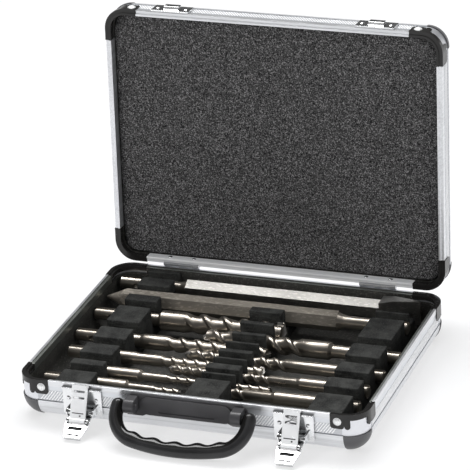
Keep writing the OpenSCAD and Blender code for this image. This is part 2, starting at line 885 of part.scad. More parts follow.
// Rivet heads on the strikes, on the lid hinge leaves and inside the lid behind the leaves
module lid_rivets() {
    rivet_x = latch_w / 2 - 4;
    inner_z = lid_rim_z + rim_inner / 2;
    color(chrome) swung() {
        for (s = [-1, 1], t = [-1, 1])
            front_dome(s * latch_x + t * rivet_x, front_y - sheet_t,
                lid_rim_z + strike_h / 2, small_rivet_d, small_rivet_h);
        for (s = [-1, 1], t = [-1, 1]) {
            translate([s * hinge_x + t * hinge_l / 3, back_y + leaf_t,
                axis_z + knuckle_r + leaf_l / 2])
                rotate([-90, 0, 0]) dome(small_rivet_d, small_rivet_h);
            front_dome(s * hinge_x + t * hinge_l / 3, half_d - rim_w, inner_z,
                small_rivet_d, small_rivet_h);
        }
    }
}

// ---- handle ----

// Flange outline seen from the front: narrower top, ends deeper than the middle
module flange_outline() {
    shoulder = flange_top - flange_taper;
    for (s = [0, 1]) mirror([s, 0])
        polygon([[-eps, flange_top], [bracket_w - flange_taper, flange_top],
            [bracket_w, shoulder], [bracket_w, flange_low],
            [bracket_w - flange_end_w, flange_low],
            [bracket_w - flange_end_w - 2 * flange_rise, flange_low + flange_rise],
            [-eps, flange_low + flange_rise]]);
}

// Raised middle of the bracket with round ends
module pad_outline() {
    low = flange_low + flange_rise;
    high = flange_top - pad_margin;
    r = (high - low) / 2;
    end_x = ear_x - ear_w / 2 - pad_margin - r;
    for (s = [-1, 1]) translate([s * end_x, low + r]) circle(r);
    translate([-end_x, low]) square([2 * end_x, 2 * r]);
}

module handle_bracket() {
    depth = grip_out + prof_in - flange_t;
    color(grey_plastic) {
        translate([0, front_y, 0]) rotate([90, 0, 0]) linear_extrude(flange_t) flange_outline();
        difference() {
            translate([0, front_y - flange_t, 0]) rotate([90, 0, 0])
                linear_extrude(pad_t) pad_outline();
            translate([-pad_groove_l / 2, front_y - flange_t - 2 * pad_t,
                flange_low + flange_rise + pad_groove_up])
                cube([pad_groove_l, 1.5 * pad_t, pad_groove_w]);
        }
        for (s = [-1, 1])
            translate([s * ear_x - ear_w / 2, grip_y, grip_z]) rotate([90, 0, 90])
                linear_extrude(ear_w) difference() {
                    ear_outline(grip_ear_r, depth);
                    circle(d = grip_pin_d + 2 * bore_clear);
                }
    }
}

// Axles through the bracket's ears and the handle's legs
module handle_pins() {
    pin_l = leg_x + grip_r * 0.8 - (ear_x - ear_w / 2) + 1;
    color(chrome) for (s = [0, 1]) mirror([s, 0, 0])
        translate([ear_x - ear_w / 2 - 1, grip_y, grip_z]) rotate([0, 90, 0])
            cylinder(d = grip_pin_d, h = pin_l);
}

// Direction from the bend's middle to the grip's middle line, by distance along the grip
function grip_phi(s) =
    let (a = abs(s), turn = a <= bow_half ? a / bow_r : (a - bow_half) / bend_r)
    sign(s) * ((a <= bow_half ? 0 : bow_angle) + turn * 180 / PI) - 90;

// Height of the finger ridges over the inside of the grip, by distance along it
function ridge(s) =
    abs(s) > ridge_count * ridge_step / 2 ? 0
    : ridge_h / 2 * (1 - cos(360 * (s / ridge_step + ridge_count / 2)));

// One ring of the grip: round, and raised towards the hand at a ridge
function grip_ring(s) =
    let (phi = grip_phi(s), bent = abs(s) > bow_half, r = bent ? bend_r : bow_r,
        mid = bent ? [sign(s) * (leg_x - bend_r), -leg_l] : [0, bow_z])
    [for (j = [0 : grip_sides - 1])
        let (a = 360 * j / grip_sides,
            out = r + cos(a) * (grip_r + (cos(a) < 0 ? ridge(s) : 0)))
        [mid[0] + out * cos(phi), grip_r * sin(a), mid[1] + out * sin(phi)]];

// Bent part of the grip, swept from the right leg to the left one
module bent_grip() {
    half_l = bow_half + bend_r * (90 - bow_angle) * PI / 180;
    rings = [for (k = [0 : grip_rings]) grip_ring(half_l * (1 - 2 * k / grip_rings))];
    last = grip_rings * grip_sides;
    sides = [for (k = [0 : grip_rings - 1], j = [0 : grip_sides - 1])
        let (a = k * grip_sides + j, b = k * grip_sides + (j + 1) % grip_sides)
        each [[a, b, a + grip_sides], [b, b + grip_sides, a + grip_sides]]];
    ends = [[for (j = [grip_sides - 1 : -1 : 0]) j],
        [for (j = [0 : grip_sides - 1]) last + j]];
    polyhedron([for (ring = rings) each ring], concat(sides, ends));
}

// Handle drawn hanging straight down from its pivots on the X axis
module grip() {
    color(grey_plastic) {
        bent_grip();
        left_and_right() difference() {
            union() {
                translate([leg_x, 0, 0]) rotate_extrude() intersection() {
                    circle(grip_r);
                    square(grip_r);
                }
                translate([leg_x, 0, -leg_l]) cylinder(r = grip_r, h = leg_l);
            }
            translate([leg_x - 2 * grip_r, 0, 0]) rotate([0, 90, 0])
                cylinder(d = grip_pin_d + 2 * bore_clear, h = 4 * grip_r);
        }
    }
}

module handle_grip() {
    translate([0, grip_y, grip_z]) rotate([-grip_rest, 0, 0]) grip();
}

// ---- drill bits and chisels, drawn along +Z from the shank's end ----

// Slotted shank: two open drive slots and two closed locking grooves
module shank(l) {
    chamfer = 1;
    slot_w = 2.8;
    slot_depth = 1.6;
    lock_r = 2.2;
    lock_low = 14;
    lock_high = 28;
    lock_out = shank_d / 2 + lock_r - slot_depth;
    difference() {
        union() {
            cylinder(d1 = shank_d - 2 * chamfer, d2 = shank_d, h = chamfer);
            translate([0, 0, chamfer]) cylinder(d = shank_d, h = l - chamfer);
        }
        for (s = [0, 180]) rotate(s) {
            translate([shank_d / 2 - slot_depth, -slot_w / 2, -1])
                cube([2 * slot_depth, slot_w, lock_high + 1]);
            translate([0, lock_out, lock_low]) {
                sphere(lock_r);
                cylinder(r = lock_r, h = lock_high - lock_low);
                translate([0, 0, lock_high - lock_low]) sphere(lock_r);
            }
        }
    }
}

// Points of the fluted section: on each half a land of three points and a flute of three
function flute_point(r, i) =
    let (half = floor(i / 6) * 180, k = i % 6,
        angle = [-26, 0, 26, 56, 90, 124][k], share = [1, 1, 1, 0.72, core_ratio, 0.72][k])
    [r * share * cos(half + angle), r * share * sin(half + angle)];

// Fluted stem: the section wound along a right-hand helix
module flutes(d, l) {
    turns = l / (lead_ratio * d);
    linear_extrude(l, twist = -360 * turns, slices = ceil(10 * turns), segments = 12)
        polygon([for (i = [0 : 11]) flute_point(d / 2 - flute_relief, i)]);
}

// Carbide plate with its roof-shaped point, set across the end of the flutes
module carbide(d) {
    thick = plate_ratio * d;
    roof = d / 2 * tan(25);
    sunk = d / 3;
    translate([0, thick / 2, 0]) rotate([90, 0, 0]) linear_extrude(thick)
        polygon([[-d / 2, -sunk], [d / 2, -sunk], [d / 2, 0], [0, roof], [-d / 2, 0]]);
}

module bit(d, l, stem_l) {
    roof = d / 2 * tan(25);
    flute_l = l - stem_l - collar_l - body_l - roof;
    turns = flute_l / (lead_ratio * d);
    color(steel) {
        shank(stem_l);
        translate([0, 0, stem_l]) cylinder(d1 = shank_d, d2 = d, h = collar_l);
        translate([0, 0, stem_l + collar_l]) cylinder(d = d, h = body_l);
        translate([0, 0, stem_l + collar_l + body_l]) flutes(d, flute_l);
        translate([0, 0, l - roof]) rotate(360 * turns) carbide(d);
    }
}

module from_left(gap, y, z) {
    translate([gap - inner_w, y, z]) rotate([0, 90, 0]) children();
}

module from_right(gap, y, z) {
    translate([inner_w - gap, y, z]) rotate([0, -90, 0]) children();
}

module left_bit(i) {
    from_left(left_gap[i], left_row[i], bit_z) bit(left_size[i], long_l, shank_l);
}

module right_bit(i) {
    from_right(right_gap[i], right_row[i], bit_z) bit(right_size[i], long_l, shank_l);
}

module bit_16() { left_bit(0); }
module bit_12() { left_bit(1); }
module bit_9() { left_bit(2); }
module bit_6() { left_bit(3); }
module bit_14() { right_bit(0); }
module bit_10() { right_bit(1); }
module bit_8() { right_bit(2); }

module bit_6_short() {
    from_left(short_gap[0], short_row[0], bit_z) bit(short_size[0], short_l, short_shank_l);
}

module bit_8_short() {
    from_right(short_gap[1], short_row[1], bit_z) bit(short_size[1], short_l, short_shank_l);
}

// Shank, cone and hexagonal body up to a given length
module hex_stem(l, turn) {
    shank(chisel_shank_l);
    translate([0, 0, chisel_shank_l]) cylinder(d1 = shank_d, d2 = hex_af - neck_step, h = neck_l);
    translate([0, 0, chisel_shank_l + neck_l]) rotate(turn)
        cylinder(r = hex_corner_r, h = l - chisel_shank_l - neck_l, $fn = 6);
}

// Flat chisel: the hexagon runs into a wedge that widens to the blade
module flat_chisel() {
    stem = chisel_l - blade_l;
    shoulder = blade_l / 3;
    color(steel) from_left(flat_gap, flat_row, chisel_z) {
        hex_stem(stem, 0);
        translate([0, 0, stem]) intersection() {
            rotate([0, -90, 0]) translate([0, 0, -blade_w / 2]) linear_extrude(blade_w)
                polygon([[0, -hex_af / 2], [blade_l, -blade_edge / 2],
                    [blade_l, blade_edge / 2], [0, hex_af / 2]]);
            translate([0, hex_af / 2, 0]) rotate([90, 0, 0]) linear_extrude(hex_af)
                polygon([[-hex_corner_r, 0], [hex_corner_r, 0], [blade_w / 2, shoulder],
                    [blade_w / 2, blade_l], [-blade_w / 2, blade_l], [-blade_w / 2, shoulder]]);
        }
    }
}

// Point chisel: the hexagon is ground to a round point
module point_chisel() {
    stem = chisel_l - point_l;
    tip_r = 0.8;
    room_r = hex_corner_r + 0.5;
    color(steel) from_right(point_gap, point_row, chisel_z) difference() {
        hex_stem(chisel_l, point_turn);
        translate([0, 0, stem]) difference() {
            cylinder(r = 2 * room_r, h = point_l + 1);
            translate([0, 0, -eps]) cylinder(r1 = room_r, r2 = tip_r, h = point_l + eps);
        }
    }
}

base_panel();
base_edges_long();
base_edges_short();
base_bands_long();
base_bands_short();
base_rims_long();
base_rims_short();
base_ball_corners();
base_mid_corners();
base_rim_corners();
base_corner_rivets();
base_liner();
foam_left();
foam_middle();
foam_right();
lid_panel();
lid_edges_long();
lid_edges_short();
lid_bands_long();
lid_bands_short();
lid_rims_long();
lid_rims_short();
lid_ball_corners();
lid_mid_corners();
lid_rim_corners();
lid_corner_rivets();
lid_liner();
lid_foam();
hinge_base_leaves();
hinge_lid_leaves();
hinge_pins();
latch_plate_left();
latch_plate_right();
latch_lever_left();
latch_lever_right();
latch_link_left();
latch_link_right();
lever_pins();
link_pin_left();
link_pin_right();
strike_left();
strike_right();
base_rivets();
lid_rivets();
handle_bracket();
handle_pins();
handle_grip();
flat_chisel();
point_chisel();
bit_16();
bit_14();
bit_12();
bit_10();
bit_9();
bit_8();
bit_6();
bit_6_short();
bit_8_short();
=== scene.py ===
"""Aluminium drill bit case, open, with hammer drill bits and chisels in a foam tray.

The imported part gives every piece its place. This script dresses it: extruded and hatched
aluminium, glossy corners, plated latches, dark foam and nickel-plated bits.
"""

import json
import math

import bmesh
import bpy
import numpy as np
from mathutils import Matrix, Vector

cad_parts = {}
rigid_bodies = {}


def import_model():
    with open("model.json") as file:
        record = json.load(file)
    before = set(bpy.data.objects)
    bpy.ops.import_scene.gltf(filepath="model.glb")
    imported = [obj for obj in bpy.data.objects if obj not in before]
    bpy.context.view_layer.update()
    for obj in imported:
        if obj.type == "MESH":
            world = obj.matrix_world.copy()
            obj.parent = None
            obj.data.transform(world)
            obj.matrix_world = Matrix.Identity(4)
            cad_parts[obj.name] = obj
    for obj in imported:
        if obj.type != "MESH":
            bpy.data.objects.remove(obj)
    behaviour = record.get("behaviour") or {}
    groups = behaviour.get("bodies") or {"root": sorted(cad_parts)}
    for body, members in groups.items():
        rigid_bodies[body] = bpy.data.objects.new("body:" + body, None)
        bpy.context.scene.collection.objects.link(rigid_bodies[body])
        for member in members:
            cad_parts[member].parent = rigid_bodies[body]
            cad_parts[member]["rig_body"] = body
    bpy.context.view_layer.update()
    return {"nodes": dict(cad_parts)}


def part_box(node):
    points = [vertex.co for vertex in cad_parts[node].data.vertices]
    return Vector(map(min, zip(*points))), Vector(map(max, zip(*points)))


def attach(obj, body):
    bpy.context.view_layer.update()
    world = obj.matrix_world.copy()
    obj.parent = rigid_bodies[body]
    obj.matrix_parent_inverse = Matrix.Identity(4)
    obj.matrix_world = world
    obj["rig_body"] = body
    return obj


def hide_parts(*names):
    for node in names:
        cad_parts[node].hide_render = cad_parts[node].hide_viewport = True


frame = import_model()

MM = 0.001

# ---- the case's sizes, in millimetres and degrees, as in the part's source ----

CASE_W, CASE_D = 275.0, 211.0
BASE_H, LID_H = 34.5, 32.5
EDGE_R = 17.0  # of the edge profiles and of the upright corners
MID_X, MID_Y = CASE_W / 2 - EDGE_R, CASE_D / 2 - EDGE_R  # the middle of the corner rounds
GROOVE_H = 1.0  # between edge profile and band
BAND_DEPTH = 0.9  # of the bands behind the case's outer face
RIM_SKIRT = 4.5  # height of the rim's outer face
RIM_FLAT = 2.4  # width of the rim's top outside its step
RIM_GAP = 0.2  # between the closed halves
LID_TOP = BASE_H + RIM_GAP + LID_H
HINGE_Y, HINGE_Z = 105.5, 37.0
OPEN_ANGLE = 93.5
BIT_Z = 20.0  # height of the bits' axes
LATCH_X, LEVER_PIVOT = 83.3, (-111.0, 14.0)  # the pivot's y and z
LEVER_REST, LINK_REST, CRANK_R = 66.0, 22.5, 8.0

# Puts the lid, drawn like the base with its rim up, in its open place.
LID_PLACE = (Matrix.Translation((0, HINGE_Y, HINGE_Z))
             @ Matrix.Rotation(math.radians(-OPEN_ANGLE), 4, "X")
             @ Matrix.Translation((0, -HINGE_Y, -HINGE_Z))
             @ Matrix.Translation((0, 0, LID_TOP))
             @ Matrix.Diagonal((1, 1, -1, 1)))
SHELLS = (("base", BASE_H, Matrix.Identity(4)), ("lid", LID_H, LID_PLACE))

# ---- sizes that only the look needs, in millimetres ----

HATCH_H, HATCH_PITCH, HATCH_LEAN = 8.0, 2.25, 0.75  # the lean is sideways per height
HATCH_CLEAR = 0.15  # over the groove
HATCH_END = 1.5  # left plain on each band
RIB_W, RIB_DEPTH = 1.3, 0.62
GROUND_PROUD, GROUND_SUNK = 0.06, 0.3  # out of the band's face and into it
RIM_CORNER_ROUND = 0.45  # radius of its edges
HINGE_SIDE_TOP = 60.0  # the open lid's rim below this height is the one beside the hinges
TAB_DROP = 11.5  # below the rim's top
TAB_ARM, TAB_WRAP, TAB_STEP = 9.5, 6.0, 0.35  # along the wall, round the corner, between rings
TAB_FILLET, TAB_NECK = 2.4, TAB_DROP - 2.6
TAB_LOBES = ((-4.1, 5.4, TAB_DROP), (3.7, 2.3, TAB_DROP + 0.3))  # middle, half width, drop
TAB_FACE, TAB_BACK = -0.01, -0.85  # measured out from the case's outer face
PAST_CASE = 150  # for cutters that reach past every wall
CHISEL_TURNED = 57.0  # length of the turned shank and neck
BEHIND_POINT_CHISEL = 71.0  # where two foam strips are cut down to these heights
LOW_MIDDLE_FOAM, LOW_RIGHT_FOAM = 16.2, 22
FOAM_GRID = 2.2  # of the lid foam's uneven skin

# Lowest and highest corners of what is pressed into lever and link, each from its own pivot
LEVER_SLOTS = (((-5.6, 0, -16.0), (5.6, 1.9, -12.9)),  # across the lever
               ((-4.8, 0, -21.2), (4.8, 1.9, -19.8)))  # near its tip
LINK_SLOTS = (((-4.6, -2, 5.4), (4.6, -0.45, 6.1)),  # across the link
              ((1.2, -2, 3.2), (2.4, -0.35, 4.4)))  # its dimple


# ---- camera, light and floor ----

CAMERA_AT = (0.8113, -2.0929, 1.1421)
CAMERA_ANGLES = (21.06, 24.52, -3.40)  # azimuth, elevation and roll
FOCUS, PHOTO_SIDE = 3277.2, 470  # in pixels
SENSOR = 36

# Brightness that camera and shiny faces see, by height from straight down (0) to up (1)
BELOW, STRAIGHT_UP = (1, 1, 1, 1), (0.8, 0.8, 0.8, 1)
ROOM_LEVELS = ((0.505, 1.0), (0.54, 0.38), (0.60, 0.10), (0.92, 0.07), (0.97, 0.5))
EVEN_TINT, EVEN_LIGHT = (0.97, 0.98, 1, 1), 0.55

# Name, place, aim, size, watts, and whether shiny faces mirror the lamp
LAMPS = (("overhead_softbox", (-0.2, 0.45, 1.3), (0, 0, 0.05), (1.1, 0.5), 16, True),
         ("front_softbox", (-1.1, -1.4, 1.1), (0, 0, 0.08), (0.6, 0.6), 9, False),
         ("right_strip", (1.5, -0.5, 0.7), (0, 0, 0.08), (0.35, 1.2), 6, False))

FLOOR_SIZE, FLOOR_DROP, FLOOR_TONE = 8, 0.0002, (0.86, 0.86, 0.87, 1)
FLOOR_GLOW = 0.6  # share of plain white in what the camera sees of the floor


def place_camera():
    azimuth, elevation, roll = (math.radians(a) for a in CAMERA_ANGLES)
    back = Vector((math.sin(azimuth) * math.cos(elevation),
                   -math.cos(azimuth) * math.cos(elevation), math.sin(elevation)))
    level = Vector((math.cos(azimuth), math.sin(azimuth), 0))
    upright = back.cross(level)
    right = level * math.cos(roll) + upright * math.sin(roll)
    up = upright * math.cos(roll) - level * math.sin(roll)
    data = bpy.data.cameras.new("photo_camera")
    data.sensor_width = SENSOR
    data.lens = FOCUS / PHOTO_SIDE * SENSOR
    data.clip_start, data.clip_end = 0.1, 20
    camera = bpy.data.objects.new("photo_camera", data)
    bpy.context.scene.collection.objects.link(camera)
    turn = Matrix((right, up, back)).transposed().to_4x4()
    camera.matrix_world = Matrix.Translation(CAMERA_AT) @ turn
    bpy.context.scene.camera = camera


def soft_light(name, place, aim, size, power, mirrored):
    data = bpy.data.lights.new(name, "AREA")
    data.shape = "RECTANGLE"
    data.size, data.size_y = size
    data.energy = power
    lamp = bpy.data.objects.new(name, data)
    bpy.context.scene.collection.objects.link(lamp)
    lamp.location = place
    lamp.rotation_euler = (Vector(aim) - Vector(place)).to_track_quat("-Z", "Y").to_euler()
    lamp.visible_camera = False
    lamp.visible_glossy = mirrored


def sees_background(tree):
    """1 for the rays that show the pale background: camera, glossy and transmission rays."""
    rays = tree.nodes.new("ShaderNodeLightPath")
    total = rays.outputs["Is Camera Ray"]
    for kind in ("Is Glossy Ray", "Is Transmission Ray"):
        either = tree.nodes.new("ShaderNodeMath")
        either.operation = "MAXIMUM"
        tree.links.new(total, either.inputs[0])
        tree.links.new(rays.outputs[kind], either.inputs[1])
        total = either.outputs[0]
    return total


def light_the_room():
    """A white sweep up to a low horizon and a dark ceiling with a bright opening, seen by the
    camera and by shiny faces, and even light for matt ones."""
    world = bpy.data.worlds.new("pale_room")
    bpy.context.scene.world = world
    world.use_nodes = True
    tree = world.node_tree
    tree.nodes.clear()
    new, link = tree.nodes.new, tree.links.new
    where = new("ShaderNodeTexCoord")
    split = new("ShaderNodeSeparateXYZ")
    link(where.outputs["Generated"], split.inputs[0])
    height = new("ShaderNodeMapRange")
    height.inputs["From Min"].default_value = -1
    link(split.outputs["Z"], height.inputs["Value"])
    ramp = new("ShaderNodeValToRGB")
    link(height.outputs["Result"], ramp.inputs["Fac"])
    stops = ramp.color_ramp
    stops.elements[0].position, stops.elements[0].color = 0.0, BELOW
    stops.elements[1].position, stops.elements[1].color = 1.0, STRAIGHT_UP
    for place, level in ROOM_LEVELS:
        stop = stops.elements.new(place)
        stop.color = (level, level, level, 1)
    seen = new("ShaderNodeBackground")
    link(ramp.outputs["Color"], seen.inputs["Color"])
    even = new("ShaderNodeBackground")
    even.inputs["Color"].default_value = EVEN_TINT
    even.inputs["Strength"].default_value = EVEN_LIGHT
    either = new("ShaderNodeMixShader")
    link(sees_background(tree), either.inputs[0])
    link(even.outputs[0], either.inputs[1])
    link(seen.outputs[0], either.inputs[2])
    link(either.outputs[0], new("ShaderNodeOutputWorld").inputs[0])
    for lamp in LAMPS:
        soft_light(*lamp)


def lay_floor():
    """A pale floor that keeps the shadow and fades towards white where it is seen."""
    bpy.ops.mesh.primitive_plane_add(size=FLOOR_SIZE, location=(0, 0, -FLOOR_DROP))
    floor = bpy.context.object
    floor.name = "pale_floor"
    material = bpy.data.materials.new("pale_floor")
    material.use_nodes = True
    tree = material.node_tree
    tree.nodes.clear()
    out = tree.nodes.new("ShaderNodeOutputMaterial")
    matt = tree.nodes.new("ShaderNodeBsdfDiffuse")
    matt.inputs["Color"].default_value = FLOOR_TONE
    glow = tree.nodes.new("ShaderNodeEmission")
    glow.inputs["Color"].default_value = (1, 1, 1, 1)
    glow.inputs["Strength"].default_value = 1
    dim = tree.nodes.new("ShaderNodeMixShader")
    share = tree.nodes.new("ShaderNodeMath")
    share.operation = "MULTIPLY"
    share.inputs[1].default_value = FLOOR_GLOW
    tree.links.new(sees_background(tree), share.inputs[0])
    tree.links.new(share.outputs[0], dim.inputs[0])
    tree.links.new(matt.outputs[0], dim.inputs[1])
    tree.links.new(glow.outputs[0], dim.inputs[2])
    tree.links.new(dim.outputs[0], out.inputs[0])
    floor.data.materials.append(material)


# ---- materials ----

def times(tone, factor):
    """A tone made darker or lighter."""
    return [min(1, c * factor) for c in tone]


class Finish:
    """A Principled material with helpers for procedural detail on Object coordinates."""

    def __init__(self, name, color, metallic=0.0, roughness=0.4):
        self.material = bpy.data.materials.new(name)
        self.material.use_nodes = True
        self.tree = self.material.node_tree
        self.shader = self.tree.nodes["Principled BSDF"]
        self.shader.inputs["Base Color"].default_value = (*color, 1)
        self.shader.inputs["Metallic"].default_value = metallic
        self.shader.inputs["Roughness"].default_value = roughness
        place = self.node("ShaderNodeTexCoord")
        self.where, self.facing = place.outputs["Object"], place.outputs["Normal"]
        self.bumps = None

    def node(self, kind):
        return self.tree.nodes.new(kind)

    def link(self, a, b):
        self.tree.links.new(a, b)

    def specular(self, level):
        self.shader.inputs["Specular IOR Level"].default_value = level

    def noise(self, scale, detail, stretch=None):
        """Noise with that many waves per metre, or with a number of its own for each axis."""
        noise = self.node("ShaderNodeTexNoise")
        noise.inputs["Scale"].default_value = scale
        noise.inputs["Detail"].default_value = detail
        where = self.where
        if stretch:
            mapping = self.node("ShaderNodeMapping")
            mapping.inputs["Scale"].default_value = stretch
            self.link(self.where, mapping.inputs["Vector"])
            where = mapping.outputs["Vector"]
        self.link(where, noise.inputs["Vector"])
        return noise.outputs["Fac"]

    def cells(self, scale):
        cells = self.node("ShaderNodeTexVoronoi")
        cells.inputs["Scale"].default_value = scale
        self.link(self.where, cells.inputs["Vector"])
        return cells

    def span(self, value, low, high, to_low=0.0, to_high=1.0):
        """The value taken from one range to another."""
        span = self.node("ShaderNodeMapRange")
        for name, number in (("From Min", low), ("From Max", high),
                             ("To Min", to_low), ("To Max", to_high)):
            span.inputs[name].default_value = number
        self.link(value, span.inputs["Value"])
        return span.outputs["Result"]

    def blend(self, factor, dark, light, kind="MIX"):
        """Goes from dark to light, each a tone or a socket, by a factor that is one too."""
        mix = self.node("ShaderNodeMix")
        mix.data_type = "RGBA"
        mix.blend_type = kind
        for socket, value in ((mix.inputs[6], dark), (mix.inputs[7], light)):
            if hasattr(value, "is_output"):
                self.link(value, socket)
            else:
                socket.default_value = (*value, 1)
        if hasattr(factor, "is_output"):
            self.link(factor, mix.inputs[0])
        else:
            mix.inputs[0].default_value = factor
        return mix.outputs[2]

    def cloudy(self, noise, dark, light, low=0.3, high=0.7):
        """Dark where the noise is under low, light where it is over high."""
        return self.blend(self.span(noise, low, high), dark, light)

    def paint(self, color):
        self.link(color, self.shader.inputs["Base Color"])

    def rough(self, noise, low, high):
        self.link(self.span(noise, 0.25, 0.75, low, high), self.shader.inputs["Roughness"])

    def bump(self, height, strength, depth):
        """Adds relief, with its depth in millimetres, over what is there."""
        bump = self.node("ShaderNodeBump")
        bump.inputs["Strength"].default_value = strength
        bump.inputs["Distance"].default_value = depth * MM
        self.link(height, bump.inputs["Height"])
        if self.bumps:
            self.link(self.bumps, bump.inputs["Normal"])
        self.bumps = bump.outputs["Normal"]
        self.link(self.bumps, self.shader.inputs["Normal"])

    def crevices(self, distance, low, high):
        """1 in the open, falling to 0 where other surfaces stand closer than the distance."""
        shade = self.node("ShaderNodeAmbientOcclusion")
        shade.samples = 8
        shade.inputs["Distance"].default_value = distance
        return self.span(shade.outputs["AO"], low, high)

    def attribute(self, name):
        attribute = self.node("ShaderNodeAttribute")
        attribute.attribute_name = name
        return attribute.outputs["Fac"]


def extruded_aluminium(name, along, tone=(0.80, 0.81, 0.83), metallic=0.85):
    """Anodised profile with fine die lines that run along it."""
    stretch = {"x": (6, 900, 900), "y": (900, 6, 900)}[along]
    finish = Finish(name, tone, metallic=metallic, roughness=0.32)
    lines = finish.noise(1.0, 4, stretch)
    cloud = finish.noise(30, 3)
    finish.paint(finish.cloudy(lines, times(tone, 0.86), times(tone, 1.08)))
    finish.rough(cloud, 0.26, 0.42)
    finish.bump(lines, 0.25, 0.08)
    return finish.material


def plain_aluminium(name, tone=(0.78, 0.79, 0.82), metallic=0.85):
    """Satin sheet with faint handling marks."""
    finish = Finish(name, tone, metallic=metallic, roughness=0.36)
    cloud = finish.noise(18, 5)
    grain = finish.noise(900, 2)
    finish.paint(finish.cloudy(cloud, times(tone, 0.92), times(tone, 1.05)))
    finish.rough(cloud, 0.30, 0.44)
    finish.bump(grain, 0.15, 0.06)
    return finish.material


def plated(name, tone=(0.86, 0.87, 0.88), low=0.07, high=0.2, metallic=1.0):
    """Bright plate with slight ripples, with painted shade in the gaps between its pieces."""
    finish = Finish(name, tone, metallic=metallic, roughness=0.12)
    cloud = finish.noise(120, 3)
    ripple = finish.noise(260, 1)
    base = finish.cloudy(cloud, times(tone, 0.93), tone)
    # Painted shade: darker where other surfaces stand close.
    open_to_light = finish.crevices(4 * MM, 0.25, 0.75)
    finish.paint(finish.blend(open_to_light, times(tone, 0.12), base))
    finish.rough(cloud, low, high)
    finish.bump(ripple, 0.12, 0.2)
    return finish.material


def gloss_plastic(name, tone):
    """Glossy moulded plastic with fine wear."""
    finish = Finish(name, tone, roughness=0.16)
    finish.specular(0.4)
    cloud = finish.noise(90, 4)
    wear = finish.noise(420, 5)
    finish.paint(finish.cloudy(cloud, tone, times(tone, 1.8), 0.3, 0.8))
    finish.rough(wear, 0.10, 0.22)
    finish.bump(wear, 0.08, 0.1)
    return finish.material


def satin_plastic(name, tone, low=0.32, high=0.46):
    """Satin moulded plastic with a fine spark-eroded grain."""
    finish = Finish(name, tone, roughness=0.38)
    grain = finish.noise(1400, 2)
    cloud = finish.noise(60, 3)
    finish.paint(finish.cloudy(cloud, times(tone, 0.88), times(tone, 1.12)))
    finish.rough(cloud, low, high)
    finish.bump(grain, 0.2, 0.08)
    return finish.material


def open_foam(name, dark, light, cell):
    """Open-cell foam, with that many cells per metre: pores, skins and a few bright specks."""
    finish = Finish(name, light, roughness=0.95)
    finish.specular(0.25)
    pores = finish.cells(cell)
    specks = finish.cells(cell * 0.8)
    cloud = finish.noise(cell * 0.55, 4)
    base = finish.cloudy(cloud, dark, light, 0.38, 0.64)
    split = finish.node("ShaderNodeSeparateColor")
    finish.link(specks.outputs["Color"], split.inputs[0])
    finish.paint(finish.cloudy(split.outputs[0], base, times(light, 3.0), 0.72, 1.0))
    finish.bump(pores.outputs["Distance"], 0.7, 0.6)
    finish.bump(cloud, 0.5, 0.4)
    return finish.material


def closed_foam(name, dark, light):
    """Cut closed-cell foam: matt, fine-grained, paler where the knife scuffed it."""
    finish = Finish(name, light, roughness=0.9)
    finish.specular(0.3)
    grain = finish.noise(900, 4)
    cloud = finish.noise(110, 5)
    cut = finish.noise(1.0, 3, (60, 60, 700))
    base = finish.cloudy(cloud, dark, light, 0.34, 0.66)
    base = finish.blend(finish.span(grain, 0.5, 0.75, 0, 0.8), base, times(light, 1.7))
    finish.paint(finish.cloudy(cut, base, times(light, 1.5), 0.55, 0.8))
    finish.bump(grain, 0.5, 0.3)
    finish.bump(cut, 0.3, 0.2)
    return finish.material


def lining_board(name, dark, light, specks):
    """Dark paper-covered board inside the shells."""
    finish = Finish(name, light, roughness=0.6)
    fibre = finish.noise(700, 4)
    cloud = finish.noise(14, 4)
    base = finish.cloudy(cloud, dark, light, 0.35, 0.7)
    finish.paint(finish.cloudy(fibre, base, specks, 0.52, 0.72))
    finish.rough(cloud, 0.5, 0.7)
    finish.bump(fibre, 0.3, 0.12)
    return finish.material


def tool_steel(name, tone):
    """Turned and nickelled steel, with painted shade in the grooves and along the flutes' steep
    edges.
    """
    finish = Finish(name, tone, metallic=1.0, roughness=0.2)
    marks = finish.noise(1.0, 3, (260, 20, 20))
    cloud = finish.noise(60, 4)
    base = finish.cloudy(cloud, times(tone, 0.82), times(tone, 1.08))
    # Painted shade, read from a point attribute.
    painted_shade = finish.span(finish.attribute("hollow"), 0.0, 1.0, 0.0, 0.9)
    finish.paint(finish.blend(painted_shade, base, times(tone, 0.12)))
    finish.rough(cloud, 0.26, 0.38)
    finish.bump(marks, 0.04, 0.01)
    return finish.material


def forged_steel(name, dark, light, low, high, metallic=1.0, top_light=1.0):
    """Ground and heat-treated steel; faces that look up may be painted lighter, those that look
    down darker, as light from above would show them.
    """
    finish = Finish(name, light, metallic=metallic, roughness=0.38)
    cloud = finish.noise(22, 5)
    scale = finish.noise(700, 4, (0.35, 1, 1))
    base = finish.cloudy(cloud, dark, light)
    base = finish.cloudy(scale, base, times(light, 1.5), 0.52, 0.75)
    # Painted light and shade by facing: lighter upward, darker downward.
    upward = finish.node("ShaderNodeSeparateXYZ")
    finish.link(finish.facing, upward.inputs[0])
    shade = finish.span(upward.outputs["Z"], 0.2, 0.8, 1 / top_light, top_light)
    finish.paint(finish.blend(1, base, shade, "MULTIPLY"))
    finish.rough(scale, low, high)
    finish.bump(scale, 0.25, 0.12)
    return finish.material


def grip_plastic(name, dark, light, hand_tone):
    """Satin grip outside, glossy black on the hand side, told apart by an attribute."""
    finish = Finish(name, light, roughness=0.4)
    finish.specular(0.4)
    inside = finish.attribute("hand_side")
    cloud = finish.noise(60, 3)
    grain = finish.noise(1200, 2)
    finish.paint(finish.blend(inside, finish.cloudy(cloud, dark, light), hand_tone))
    finish.link(finish.span(inside, 0, 1, 0.30, 0.12), finish.shader.inputs["Roughness"])
    finish.bump(grain, 0.15, 0.08)
    return finish.material


